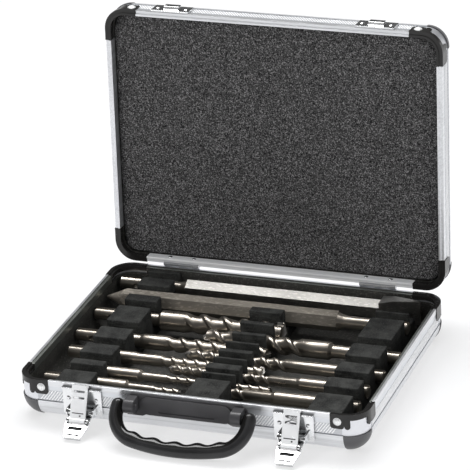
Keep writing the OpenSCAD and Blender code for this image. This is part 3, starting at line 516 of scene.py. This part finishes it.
RAIL_X = extruded_aluminium("rail_along_x", "x")
RAIL_Y = extruded_aluminium("rail_along_y", "y")
SHEET = plain_aluminium("satin_sheet")
HATCHED = plain_aluminium("hatched_sheet", (0.76, 0.78, 0.81))
# Painted light and shade on the hatching: the ribs are paler than the band, and the ground
# between them is darker.
HATCH_GROUND_SHADE = plain_aluminium("hatch_ground_shade", (0.56, 0.575, 0.60), 0.45)
# Painted shade for the step inside the base's rim.
RIM_STEP_SHADE = extruded_aluminium("rim_step_shade", "x", (0.30, 0.315, 0.295))
# Painted light for the lid's rim beside the hinges.
RIM_LIT_BY_HINGE = extruded_aluminium("rim_lit_by_hinge", "x", (0.95, 0.965, 0.99), 0.25)
HATCH_RIB_LIT = plain_aluminium("hatch_rib_lit", (0.95, 0.955, 0.96), 0.2)
CHROME = plated("bright_plate")
LATCH_SHEET = plated("latch_sheet", (0.97, 0.975, 0.98), 0.16, 0.3, 0.15)
RIVET = plated("rivet_plate", (0.93, 0.935, 0.93), 0.2, 0.34, 0.35)
CORNER_BLACK = gloss_plastic("corner_gloss", (0.012, 0.0115, 0.011))
CORNER_GREY = satin_plastic("corner_grey", (0.085, 0.085, 0.089))
BRACKET_GREY = satin_plastic("bracket_grey", (0.050, 0.049, 0.052), 0.3, 0.44)
LID_FOAM = open_foam("lid_open_foam", (0.004, 0.004, 0.0042), (0.098, 0.096, 0.096), 1900)
TRAY_FOAM = closed_foam("tray_foam", (0.011, 0.0113, 0.011), (0.038, 0.0388, 0.0365))
BOARD = lining_board("lining_board", (0.020, 0.020, 0.018), (0.048, 0.047, 0.042),
                     (0.11, 0.105, 0.095))
BIT_STEEL = tool_steel("nickelled_steel", (0.52, 0.475, 0.415))
CARBIDE = forged_steel("carbide", (0.20, 0.19, 0.18), (0.33, 0.32, 0.30), 0.35, 0.5)
PALE_STEEL = forged_steel("ground_chisel", (0.34, 0.33, 0.31), (0.47, 0.46, 0.435), 0.3, 0.45)
DARK_STEEL = forged_steel("forged_chisel", (0.18, 0.163, 0.14), (0.32, 0.292, 0.25),
                          0.36, 0.48, metallic=0.65, top_light=1.25)
GRIP = grip_plastic("grip", (0.015, 0.015, 0.0155), (0.027, 0.027, 0.028),
                    (0.006, 0.0058, 0.0055))
# Painted shade for the insides of the latches' pressed slots and dimple.
SLOT_SHADE = satin_plastic("slot_shade", (0.012, 0.012, 0.0125), 0.5, 0.7)


# ---- making pieces ----

def linked(name, mesh):
    thing = bpy.data.objects.new(name, mesh)
    bpy.context.scene.collection.objects.link(thing)
    return thing


def new_piece(name, mesh, body, *nodes, smooth=35):
    """A piece that rides a body, and stands for the nodes if any are given."""
    mesh.shade_smooth()
    mesh.set_sharp_from_angle(angle=math.radians(smooth))
    piece = linked(name, mesh)
    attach(piece, body)
    if nodes:
        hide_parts(*nodes)
    return piece


def baked(piece):
    """The piece's evaluated mesh, with its modifiers taken off."""
    graph = bpy.context.evaluated_depsgraph_get()
    mesh = bpy.data.meshes.new_from_object(piece.evaluated_get(graph), depsgraph=graph)
    old = piece.data
    piece.modifiers.clear()
    piece.data = mesh
    bpy.data.meshes.remove(old)
    return mesh


def in_metres(place):
    """A placement whose shift is given in millimetres, for meshes in metres."""
    scaled = place.copy()
    scaled.translation = place.translation * MM
    return scaled


def put(mesh, place):
    """Moves a mesh to its place and keeps its normals outward where the place mirrors it."""
    mesh.transform(place)
    if place.determinant() < 0:
        mesh.flip_normals()


def cut_out(piece, cutters):
    """Takes closed cutter meshes out of a piece; the cut faces keep the cutters' material."""
    for cutter in cutters:
        tool = linked("cutter", cutter)
        cut = piece.modifiers.new("cut", "BOOLEAN")
        cut.operation, cut.solver, cut.object = "DIFFERENCE", "EXACT", tool
        cut.material_mode = "TRANSFER"
        bpy.context.view_layer.update()
        baked(piece)
        bpy.data.objects.remove(tool)


def block(low, high, place, material):
    """A closed box between two corners in millimetres, put in its place."""
    mesh = bpy.data.meshes.new("block")
    work = bmesh.new()
    bmesh.ops.create_cube(work, size=1)
    middle = [(a + b) / 2 * MM for a, b in zip(low, high)]
    size = [(b - a) * MM for a, b in zip(low, high)]
    work.transform(Matrix.Translation(middle) @ Matrix.Diagonal((*size, 1)))
    work.to_mesh(mesh)
    work.free()
    put(mesh, place)
    mesh.materials.append(material)
    return mesh


def joined(name, meshes, materials):
    """One mesh of several, which are then removed."""
    work = bmesh.new()
    for part in meshes:
        work.from_mesh(part)
        bpy.data.meshes.remove(part)
    mesh = bpy.data.meshes.new(name)
    work.to_mesh(mesh)
    work.free()
    for material in materials:
        mesh.materials.append(material)
    return mesh


def softened(node, material, width=0.25, segments=2, limit=38, smooth=35, cutters=()):
    """Stands for a CAD node: its doubles merged, the cutters taken out, hard edges rounded."""
    source = frame["nodes"][node]
    mesh = source.data.copy()
    work = bmesh.new()
    work.from_mesh(mesh)
    bmesh.ops.remove_doubles(work, verts=work.verts, dist=2e-6)
    bmesh.ops.dissolve_degenerate(work, dist=1e-6, edges=work.edges)
    bmesh.ops.dissolve_limit(work, angle_limit=math.radians(0.6),
                             verts=work.verts, edges=work.edges)
    work.to_mesh(mesh)
    work.free()
    for layer in list(mesh.attributes):
        if layer.name == "custom_normal":
            mesh.attributes.remove(layer)
    mesh.materials.clear()
    mesh.materials.append(material)
    mesh.polygons.foreach_set("material_index", [0] * len(mesh.polygons))
    piece = linked(node + "_finished", mesh)
    cut_out(piece, cutters)
    mesh = piece.data
    if width:
        bevel = piece.modifiers.new("rounding", "BEVEL")
        bevel.width = width * MM
        bevel.segments = segments
        bevel.limit_method = "ANGLE"
        bevel.angle_limit = math.radians(limit)
        bevel.use_clamp_overlap = True
        bevel.miter_outer = "MITER_ARC"
        bpy.context.view_layer.update()
        mesh = baked(piece)
    mesh.shade_smooth()
    mesh.set_sharp_from_angle(angle=math.radians(smooth))
    flats = piece.modifiers.new("flat_faces", "WEIGHTED_NORMAL")
    flats.mode = "FACE_AREA"
    flats.weight = 90
    flats.keep_sharp = True
    bpy.context.view_layer.update()
    baked(piece)
    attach(piece, source["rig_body"])
    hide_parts(node)
    return piece


def dress(node, material):
    """A CAD node that stays as it is, in a better material."""
    mesh = frame["nodes"][node].data
    mesh.materials.clear()
    mesh.materials.append(material)


def rings_to_mesh(name, rings):
    """A closed skin over equal rings of points, given in millimetres, with fans as its ends."""
    rings = np.asarray(rings, float)
    count, sides, _ = rings.shape
    verts = np.vstack([rings.reshape(-1, 3), rings[0].mean(0), rings[-1].mean(0)])
    k, j = np.meshgrid(np.arange(count - 1), np.arange(sides), indexing="ij")
    a = k * sides + j
    b = k * sides + (j + 1) % sides
    faces = np.stack([a, b, b + sides, a + sides], -1).reshape(-1, 4).tolist()
    last_ring, first, last = (count - 1) * sides, count * sides, count * sides + 1
    for i in range(sides):
        n = (i + 1) % sides
        faces.append([n, i, first])
        faces.append([last_ring + i, last_ring + n, last])
    mesh = bpy.data.meshes.new(name)
    mesh.from_pydata((verts * MM).tolist(), [], faces)
    work = bmesh.new()
    work.from_mesh(mesh)
    bmesh.ops.recalc_face_normals(work, faces=work.faces)
    work.to_mesh(mesh)
    work.free()
    return mesh


def point_values(mesh, name, values):
    layer = mesh.attributes.new(name, "FLOAT", "POINT")
    layer.data.foreach_set("value", np.asarray(values, np.float32))


# ---- hatching: slanted ribs pressed into the bands, with painted light and shade ----

def hatching_tree():
    """Geometry Nodes: a row of slanted ribs along X, centred on y = 0 and z = 0."""
    tree = bpy.data.node_groups.new("hatching", "GeometryNodeTree")
    face = tree.interface
    face.new_socket("Geometry", in_out="OUTPUT", socket_type="NodeSocketGeometry")
    for name, kind in (("Count", "Int"), ("Pitch", "Float"), ("Height", "Float"),
                       ("Rib Width", "Float"), ("Rib Depth", "Float"), ("Lean", "Float"),
                       ("Material", "Material")):
        face.new_socket(name, in_out="INPUT", socket_type="NodeSocket" + kind)
    new, link = tree.nodes.new, tree.links.new
    given = new("NodeGroupInput").outputs
    row = new("GeometryNodeMeshLine")
    step = new("ShaderNodeCombineXYZ")
    link(given["Pitch"], step.inputs["X"])
    link(given["Count"], row.inputs["Count"])
    link(step.outputs[0], row.inputs["Offset"])
    rib = new("GeometryNodeMeshCylinder")
    rib.inputs["Vertices"].default_value = 8
    rib.inputs["Radius"].default_value = 0.5
    rib.inputs["Depth"].default_value = 1.0
    size = new("ShaderNodeCombineXYZ")
    link(given["Rib Width"], size.inputs["X"])
    link(given["Rib Depth"], size.inputs["Y"])
    link(given["Height"], size.inputs["Z"])
    shaped = new("GeometryNodeTransform")
    link(rib.outputs["Mesh"], shaped.inputs["Geometry"])
    link(size.outputs[0], shaped.inputs["Scale"])
    place = new("GeometryNodeInputPosition")
    parts = new("ShaderNodeSeparateXYZ")
    link(place.outputs[0], parts.inputs[0])
    slant = new("ShaderNodeMath")
    slant.operation = "MULTIPLY"
    link(parts.outputs["Z"], slant.inputs[0])
    link(given["Lean"], slant.inputs[1])
    shift = new("ShaderNodeCombineXYZ")
    link(slant.outputs[0], shift.inputs["X"])
    leaning = new("GeometryNodeSetPosition")
    link(shaped.outputs[0], leaning.inputs["Geometry"])
    link(shift.outputs[0], leaning.inputs["Offset"])
    spread = new("GeometryNodeInstanceOnPoints")
    link(row.outputs["Mesh"], spread.inputs["Points"])
    link(leaning.outputs[0], spread.inputs["Instance"])
    real = new("GeometryNodeRealizeInstances")
    link(spread.outputs[0], real.inputs[0])
    coat = new("GeometryNodeSetMaterial")
    link(real.outputs[0], coat.inputs["Geometry"])
    link(given["Material"], coat.inputs["Material"])
    link(coat.outputs[0], new("NodeGroupOutput").inputs[0])
    return tree


HATCHING = hatching_tree()


def hatched_row(length):
    """A row of ribs of about that length, as a plain mesh centred on the origin."""
    count = int(length // HATCH_PITCH)
    maker = linked("hatching_maker", bpy.data.meshes.new("blank"))
    modifier = maker.modifiers.new("hatching", "NODES")
    modifier.node_group = HATCHING
    socket = {item.name: item.identifier for item in HATCHING.interface.items_tree
              if item.in_out == "INPUT"}
    values = {"Count": count, "Pitch": HATCH_PITCH * MM, "Height": HATCH_H * MM,
              "Rib Width": RIB_W * MM, "Rib Depth": RIB_DEPTH * MM, "Lean": HATCH_LEAN,
              "Material": HATCH_RIB_LIT}
    for name, value in values.items():
        modifier[socket[name]] = value
    graph = bpy.context.evaluated_depsgraph_get()
    mesh = bpy.data.meshes.new_from_object(maker.evaluated_get(graph), depsgraph=graph)
    bpy.data.objects.remove(maker)
    mesh.polygons.foreach_set("material_index", [0] * len(mesh.polygons))
    mesh.transform(Matrix.Translation((-(count - 1) * HATCH_PITCH * MM / 2, 0, 0)))
    return mesh


def hatched_shell(name, body, place):
    """The ribs, painted lighter than the band, and their ground, a dark sheet of painted shade
    between them, on one shell's four bands, joined into one piece.
    """
    low = EDGE_R + GROOVE_H + HATCH_CLEAR
    high = low + HATCH_H
    meshes = []
    walls = ((2 * MID_X, CASE_D / 2), (2 * MID_Y, CASE_W / 2)) * 2
    for quarter, (span, depth) in enumerate(walls):
        length = span - HATCH_END
        turn = Matrix.Rotation(math.radians(90 * quarter), 4, "Z")
        row = hatched_row(length - HATCH_H * HATCH_LEAN)
        row.transform(turn @ Matrix.Translation((0, (BAND_DEPTH - depth) * MM,
                                                 (low + high) / 2 * MM)))
        # The ground is a dark sheet of painted shade behind the ribs.
        ground = block((-length / 2, BAND_DEPTH - GROUND_PROUD - depth, low),
                       (length / 2, BAND_DEPTH + GROUND_SUNK - depth, high), turn, HATCH_GROUND_SHADE)
        for face in ground.polygons:
            face.material_index = 1
        meshes += [row, ground]
    mesh = joined(name, meshes, (HATCH_RIB_LIT, HATCH_GROUND_SHADE))
    put(mesh, in_metres(place))
    new_piece(name, mesh, body)


# ---- drill bits ----

SHANK_R = 5.0
SLOT_HALF, SLOT_FLOOR = 1.4, 3.4  # half width of the open grooves, and axis to their floor
LOCK_R, LOCK_OUT, LOCK_LOW, LOCK_HIGH = 2.2, 5.6, 14.0, 28.0  # of the ball recesses
COLLAR_L, BODY_L = 3, 22  # both measured from the shank
TIP_ANGLE = 25  # slope of the plate's roof
LEAD_SHARE, LEAST_LEAD = 2.1, 16.5  # share of the diameter, and a length
# The line beside a land is painted shade, where the flute's steep wall would be in shadow.
LAND, EDGE_SHADE = 22, 9  # half angle of a land, and angle of the dark line beside it
FLUTE_DEPTH, STEEP_WALL = 0.30, 0.12  # shares of the radius and of the flute's width
RUN_IN = 0.55  # length over which the flutes start, as a share of the diameter
BIT_SIDES, RINGS_PER_TURN = 90, 30

# Node, diameter, length, shank's length, distance of its end from the middle, row, side
BITS = (("bit_16", 16, 160, 54, 131, 39, "left"), ("bit_12", 12, 160, 54, 131.5, 1, "left"),
        ("bit_9", 9, 160, 54, 126, -28, "left"), ("bit_6", 6, 160, 54, 111, -55, "left"),
        ("bit_14", 14, 160, 54, 127, 18.5, "right"), ("bit_10", 10, 160, 54, 124, -13, "right"),
        ("bit_8", 8, 160, 54, 120, -39, "right"), ("bit_6_short", 6, 110, 66, 127, -74, "left"),
        ("bit_8_short", 8, 110, 66, 121, -65, "right"))


def shank_radius(angle, s):
    """Radius of a slotted shank at an angle round it and a distance from its end."""
    r = SHANK_R - max(0.0, 1.0 - s)
    c, n = abs(math.cos(angle)), abs(math.sin(angle))
    if s < LOCK_HIGH and SLOT_FLOOR * n < SLOT_HALF * c:
        r = min(r, SLOT_FLOOR / c)
    past = max(LOCK_LOW - s, s - LOCK_HIGH, 0.0)
    if past < LOCK_R:
        reach = math.sqrt(LOCK_R ** 2 - past ** 2)
        if LOCK_OUT * c < reach:
            r = min(r, LOCK_OUT * n - math.sqrt(reach ** 2 - (LOCK_OUT * c) ** 2))
    return r


def flute_share(angle):
    """Radius of the fluted part as a share of the bit's, and the painted shade on the steep edge
    there.
    """
    past = (math.degrees(angle) + LAND) % 180 - 2 * LAND
    if past <= 0:
        return 1.0, 0.0
    across = past / (180 - 2 * LAND)
    cut = FLUTE_DEPTH * min(1.0, across / STEEP_WALL) ** 0.5 * (1 - across) ** 0.45
    return 1.0 - cut, max(0.0, 1 - past / EDGE_SHADE) ** 0.5


def carbide_plate(mesh, d, stem_end, turn, roof):
    """Adds the tip's roofed plate, which stands in the stem's end, to a bit's mesh."""
    thick, sunk = 0.2 * d, d / 3
    outline = [(-sunk, -d / 2), (-sunk, d / 2), (0, d / 2), (roof, 0), (0, -d / 2)]
    work = bmesh.new()
    work.from_mesh(mesh)
    v = []
    for y in (-thick / 2, thick / 2):
        for s, w in outline:
            corner = Vector((stem_end + s, w * math.sin(turn) + y * math.cos(turn),
                             y * math.sin(turn) - w * math.cos(turn)))
            v.append(work.verts.new(corner * MM))
    plate = [work.faces.new(v[:5]), work.faces.new(v[9:4:-1])]
    for i in range(5):
        n = (i + 1) % 5
        plate.append(work.faces.new((v[n], v[i], v[i + 5], v[n + 5])))
    for face in plate:
        face.material_index = 1
    bmesh.ops.recalc_face_normals(work, faces=plate)
    work.to_mesh(mesh)
    work.free()


def drill_bit(node, d, length, shank_l, start, row, side):
    """One hammer bit with slotted shank, collar, body, helical flutes and a carbide plate."""
    angles = 2 * math.pi * np.arange(BIT_SIDES) / BIT_SIDES
    roof = d / 2 * math.tan(math.radians(TIP_ANGLE))
    collar_end, body_end, stem_end = shank_l + COLLAR_L, shank_l + BODY_L, length - roof
    lead = max(LEAD_SHARE * d, LEAST_LEAD)
    stations = np.unique(np.round(np.concatenate([
        [0, 0.5, 1], np.arange(2, 12, 2),
        np.arange(11, 31, 0.8), [LOCK_HIGH - 0.1, LOCK_HIGH + 0.1],
        np.arange(33, shank_l, 5), [shank_l - 0.4, shank_l, shank_l + 0.5],
        [collar_end - 0.4, collar_end], [body_end - 0.1],
        np.arange(body_end, stem_end, lead / RINGS_PER_TURN), [stem_end - 0.5, stem_end]]), 3))
    rings, hollow = [], []
    for s in stations:
        turn = 2 * math.pi * (s - body_end) / lead
        ring = []
        for a in angles:
            if s <= shank_l:
                r, full = shank_radius(a, s), SHANK_R
            elif s <= collar_end:
                r = full = SHANK_R + (d / 2 - SHANK_R) * (s - shank_l) / COLLAR_L
            elif s < body_end:
                r = full = d / 2
            else:
                run_in = min(1.0, (s - body_end) / (RUN_IN * d))
                share, edge = flute_share(a - turn)
                r = d / 2 * (1 - (1 - share) * math.sin(run_in * math.pi / 2)) - 0.05
                if s > stem_end - 0.01:
                    r -= 0.5
            ring.append((s, r * math.sin(a), -r * math.cos(a)))
            # Painted shade: along the flutes' steep edges, and in the shank's grooves by how deep
            # they are.
            if s >= body_end:
                hollow.append(edge * run_in)
            else:
                hollow.append(min(1.0, max(0.0, (full - r) / (0.35 * full))) ** 1.3)
        rings.append(ring)
    mesh = rings_to_mesh(node + "_turned", rings)
    point_values(mesh, "hollow", hollow + [0.3, 0.3])
    mesh.materials.append(BIT_STEEL)
    mesh.materials.append(CARBIDE)
    carbide_plate(mesh, d, stem_end, 2 * math.pi * (stem_end - body_end) / lead, roof)
    if side == "left":
        place = Matrix.Translation((-start * MM, row * MM, BIT_Z * MM))
    else:
        place = (Matrix.Translation((start * MM, row * MM, BIT_Z * MM))
                 @ Matrix.Rotation(math.pi, 4, "Z"))
    mesh.transform(place)
    piece = new_piece(node + "_turned", mesh, node, node, smooth=42)


def chisel(node, material, shank_side):
    """A forged hexagonal chisel whose turned shank and neck, at one end, are bright."""
    piece = softened(node, material, 0.5, 2)
    piece.data.materials.append(BIT_STEEL)
    low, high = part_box(node)
    end = low[0] if shank_side == "left" else high[0]
    for face in piece.data.polygons:
        if abs(face.center.x - end) < CHISEL_TURNED * MM:
            face.material_index = 1


# ---- carrying handle ----

LEG_X, LEG_L, BEND_R, BOW, GRIP_R = 51.5, 5.0, 22.0, math.radians(12), 5.25
HANDLE_REST, HANDLE_PIVOT = math.radians(47.5), (0, -113.5, 26.0)
RIDGES, RIDGE_STEP, RIDGE_H = 5, 17.5, 2.0
SEAM_DEPTH, SEAM_AT, SEAM_W = 0.22, 0.12, 0.07  # where glossy and satin faces meet
GRIP_SIDES = 40


def finger_ridge(s):
    """Height of the ridges on the hand side, at a distance from the grip's middle."""
    if abs(s) > RIDGES * RIDGE_STEP / 2:
        return 0.0
    return RIDGE_H / 2 * (1 - math.cos(2 * math.pi * (s / RIDGE_STEP + RIDGES / 2)))


def handle_piece():
    """Swept grip: straight legs, round bends, a bowed front bar and finger ridges inside."""
    bow_r = BEND_R + (LEG_X - BEND_R) / math.sin(BOW)
    bow_z = -LEG_L + (bow_r - BEND_R) * math.cos(BOW)
    bow_half = bow_r * BOW
    half = bow_half + BEND_R * (math.pi / 2 - BOW)

    # Distance along the grip, lift of a leg's domed end, and radius there
    dome = [(GRIP_R * math.sin(t), GRIP_R * math.cos(t))
            for t in np.linspace(math.pi / 2 - 0.02, 0, 8)]
    path = [(half + LEG_L, lift, r) for lift, r in dome]
    path += [(half + LEG_L * (1 - t), 0, GRIP_R) for t in (0.33, 0.66)]
    path += [(s, 0, GRIP_R) for s in np.linspace(half, -half, 221)]
    path += [(-half - LEG_L * t, 0, GRIP_R) for t in (0.33, 0.66, 1)]
    path += [(-half - LEG_L, lift, r) for lift, r in dome[::-1][1:]]

    rings, inside = [], []
    for s, lift, r in path:
        a = abs(s)
        sign = 1 if s >= 0 else -1
        if a <= bow_half:
            phi = sign * a / bow_r - math.pi / 2
            centre, radius = (0, bow_z), bow_r
        elif a <= half:
            phi = sign * (BOW + (a - bow_half) / BEND_R) - math.pi / 2
            centre, radius = (sign * (LEG_X - BEND_R), -LEG_L), BEND_R
        else:
            phi = 0 if sign > 0 else -math.pi
            centre, radius = (sign * (LEG_X - BEND_R), -LEG_L + (a - half) + lift), BEND_R
        ring = []
        for j in range(GRIP_SIDES):
            t = 2 * math.pi * j / GRIP_SIDES
            grow = finger_ridge(s) * max(0.0, -math.cos(t))
            seam = 0.0
            if r > 0.9 * GRIP_R:
                seam = SEAM_DEPTH * math.exp(-((math.cos(t) + SEAM_AT) / SEAM_W) ** 2)
            out = radius + math.cos(t) * (r + grow - seam)
            up = (r - seam) * math.sin(t)
            ring.append((centre[0] + out * math.cos(phi), up, centre[1] + out * math.sin(phi)))
            inside.append(min(1.0, max(0.0, (-math.cos(t) - 0.08) / 0.1)))
        rings.append(ring)
    mesh = rings_to_mesh("handle_grip_moulded", rings)
    point_values(mesh, "hand_side", inside + [0, 0])
    mesh.materials.append(GRIP)
    pivot = [c * MM for c in HANDLE_PIVOT]
    mesh.transform(Matrix.Translation(pivot) @ Matrix.Rotation(-HANDLE_REST, 4, "X"))
    piece = new_piece("handle_grip_moulded", mesh, "handle", "handle_grip", smooth=50)


# ---- rims, corners and latches ----

def paint_shade_on_rim_step(rim):
    """Painted shade inside the base's rim: the step is given a darker tone, and the inner face
    on the hinge side is painted as dark as the lining."""
    inner_x, inner_y = (CASE_W / 2 - RIM_FLAT) * MM, (CASE_D / 2 - RIM_FLAT) * MM
    rim.data.materials.append(RIM_STEP_SHADE)
    rim.data.materials.append(BOARD)
    for face in rim.data.polygons:
        x, y, _ = face.center
        if abs(x) < inner_x - 0.0001 and abs(y) < inner_y - 0.0001:
            face.material_index = 2 if y > 0 and face.normal.y < -0.7 else 1


def paint_light_by_hinge(rim):
    """Painted light on the lid's rim beside the hinges, which stands over the bright rim of the
    base: a paler, less metallic copy of the rim material.
    """
    rim.data.materials.append(RIM_LIT_BY_HINGE)
    for face in rim.data.polygons:
        if face.center.z < HINGE_SIDE_TOP * MM:
            face.material_index = 1


def rim_corners(node, rim_z, place):
    """The rim corners without their tabs, which corner_tabs makes squarer."""
    below = block((-PAST_CASE, -PAST_CASE, -5), (PAST_CASE, PAST_CASE, rim_z - RIM_SKIRT),
                  in_metres(place), CORNER_BLACK)
    softened(node, CORNER_BLACK, RIM_CORNER_ROUND, 3, cutters=[below])


def tab_drop(u):
    """How far a tab hangs below the rim, at a distance from where the wall starts to turn."""
    for middle, half, drop in TAB_LOBES:
        off = abs(u - middle)
        if off <= half:
            edge = max(0.0, off - (half - TAB_FILLET)) / TAB_FILLET
            return drop - TAB_FILLET * (1 - math.sqrt(1 - min(1.0, edge) ** 2))
    return TAB_NECK


def corner_tabs(name, rim_z, body, place):
    """The tabs on the faces beside each corner: a broad lobe for the rivet and a slim one."""
    top = rim_z - RIM_SKIRT + RIM_CORNER_ROUND
    rings = []
    for u in np.arange(-TAB_ARM, TAB_WRAP + 0.01, TAB_STEP):
        turn = max(0.0, u) / EDGE_R
        low = rim_z - tab_drop(u)
        rings.append([(min(0.0, u) + (EDGE_R + out) * math.sin(turn),
                       -(EDGE_R + out) * math.cos(turn), z)
                      for out, z in ((TAB_FACE, top), (TAB_FACE, low),
                                     (TAB_BACK, low), (TAB_BACK, top))])
    meshes = []
    for sx in (-1, 1):
        for sy in (-1, 1):
            along_wall = Matrix.Diagonal((sx, -sy, 1, 1))
            along_side = Matrix(((0, -sx, 0, 0), (sy, 0, 0, 0), (0, 0, 1, 0), (0, 0, 0, 1)))
            for to_corner in (along_wall, along_side):
                mesh = rings_to_mesh("tab", rings)
                put(mesh, Matrix.Translation((sx * MID_X * MM, sy * MID_Y * MM, 0)) @ to_corner)
                meshes.append(mesh)
    mesh = joined(name, meshes, (CORNER_BLACK,))
    put(mesh, in_metres(place))
    new_piece(name, mesh, body)


def draw_latch(side, x):
    """Plate, lever and link of one latch, with the pressed slots and dimple of the real one."""
    def turned(y, z, angle):
        return (Matrix.Translation((x * MM, y * MM, z * MM))
                @ Matrix.Rotation(math.radians(-angle), 4, "X"))

    y, z = LEVER_PIVOT
    crank = math.radians(LEVER_REST)
    lever_at = turned(y, z, LEVER_REST)
    link_at = turned(y - CRANK_R * math.sin(crank), z - CRANK_R * math.cos(crank), LINK_REST)
    softened("latch_plate_" + side, CHROME, 0.28, 3)
    softened("latch_lever_" + side, CHROME, 0.22, 2,
             cutters=[block(*ends, lever_at, SLOT_SHADE) for ends in LEVER_SLOTS])
    softened("latch_link_" + side, LATCH_SHEET, 0.22, 2,
             cutters=[block(*ends, link_at, SLOT_SHADE) for ends in LINK_SLOTS])


# ---- foam ----

def lid_foam_piece():
    """Foam block that fills the lid: rounded over its edges, slightly uneven."""
    mesh = frame["nodes"]["lid_foam"].data.copy()
    work = bmesh.new()
    work.from_mesh(mesh)
    bmesh.ops.remove_doubles(work, verts=work.verts, dist=2e-6)
    work.to_mesh(mesh)
    work.free()
    piece = linked("lid_foam_block", mesh)
    remesh = piece.modifiers.new("even_grid", "REMESH")
    remesh.mode = "VOXEL"
    remesh.voxel_size = FOAM_GRID * MM
    soft = piece.modifiers.new("soft_edges", "SMOOTH")
    soft.factor, soft.iterations = 0.5, 3
    bpy.context.view_layer.update()
    mesh = baked(piece)
    mesh.materials.clear()
    mesh.materials.append(LID_FOAM)
    mesh.shade_smooth()
    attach(piece, "lid")
    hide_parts("lid_foam")


def tray_foam_piece(node, low_back=None):
    """A slotted strip; behind the point chisel it may be cut down to a given height."""
    cutters = ()
    if low_back:
        cutters = [block((-PAST_CASE, BEHIND_POINT_CHISEL, low_back), (PAST_CASE, 120, 60),
                         Matrix.Identity(4), TRAY_FOAM)]
    piece = softened(node, TRAY_FOAM, width=0.9, segments=3, limit=40, smooth=50,
                     cutters=cutters)


# ---- putting it together ----

place_camera()
light_the_room()
lay_floor()

for shell in ("base", "lid"):
    dress(shell + "_panel", SHEET)
    softened(shell + "_edges_long", RAIL_X, 0.15)
    softened(shell + "_edges_short", RAIL_Y, 0.15)
    dress(shell + "_bands_long", HATCHED)
    dress(shell + "_bands_short", HATCHED)
    long_rims = softened(shell + "_rims_long", RAIL_X, 0.35)
    short_rims = softened(shell + "_rims_short", RAIL_Y, 0.35)
    if shell == "base":
        paint_shade_on_rim_step(long_rims)
        paint_shade_on_rim_step(short_rims)
    else:
        paint_light_by_hinge(long_rims)
    softened(shell + "_ball_corners", CORNER_GREY, 0.3)
    softened(shell + "_mid_corners", SHEET, 0.1)
    softened(shell + "_corner_rivets", RIVET, 0)
    softened(shell + "_liner", BOARD, 0)
    softened(shell + "_rivets", CHROME, 0)

for shell, _, place in SHELLS:
    hatched_shell(shell + "_hatching", shell, place)
for shell, height, place in SHELLS:
    rim_corners(shell + "_rim_corners", height, place)
for shell, height, place in SHELLS:
    corner_tabs(shell + "_corner_tabs", height, shell, place)

for node in ("hinge_base_leaves", "hinge_lid_leaves"):
    softened(node, SHEET, 0.2)
softened("hinge_pins", CHROME, 0.2)
for node in ("strike_left", "strike_right"):
    softened(node, CHROME, 0.28, 3)
for side, x in (("left", -LATCH_X), ("right", LATCH_X)):
    draw_latch(side, x)
for node in ("lever_pins", "link_pin_left", "link_pin_right"):
    softened(node, CHROME, 0.2)
softened("handle_pins", BRACKET_GREY, 0.4)
softened("handle_bracket", BRACKET_GREY, 0.4, 3)
handle_piece()

lid_foam_piece()
tray_foam_piece("foam_left")
tray_foam_piece("foam_middle", LOW_MIDDLE_FOAM)
tray_foam_piece("foam_right", LOW_RIGHT_FOAM)

for bit in BITS:
    drill_bit(*bit)
chisel("flat_chisel", PALE_STEEL, "left")
chisel("point_chisel", DARK_STEEL, "right")

bpy.context.scene.view_settings.view_transform = "Standard"
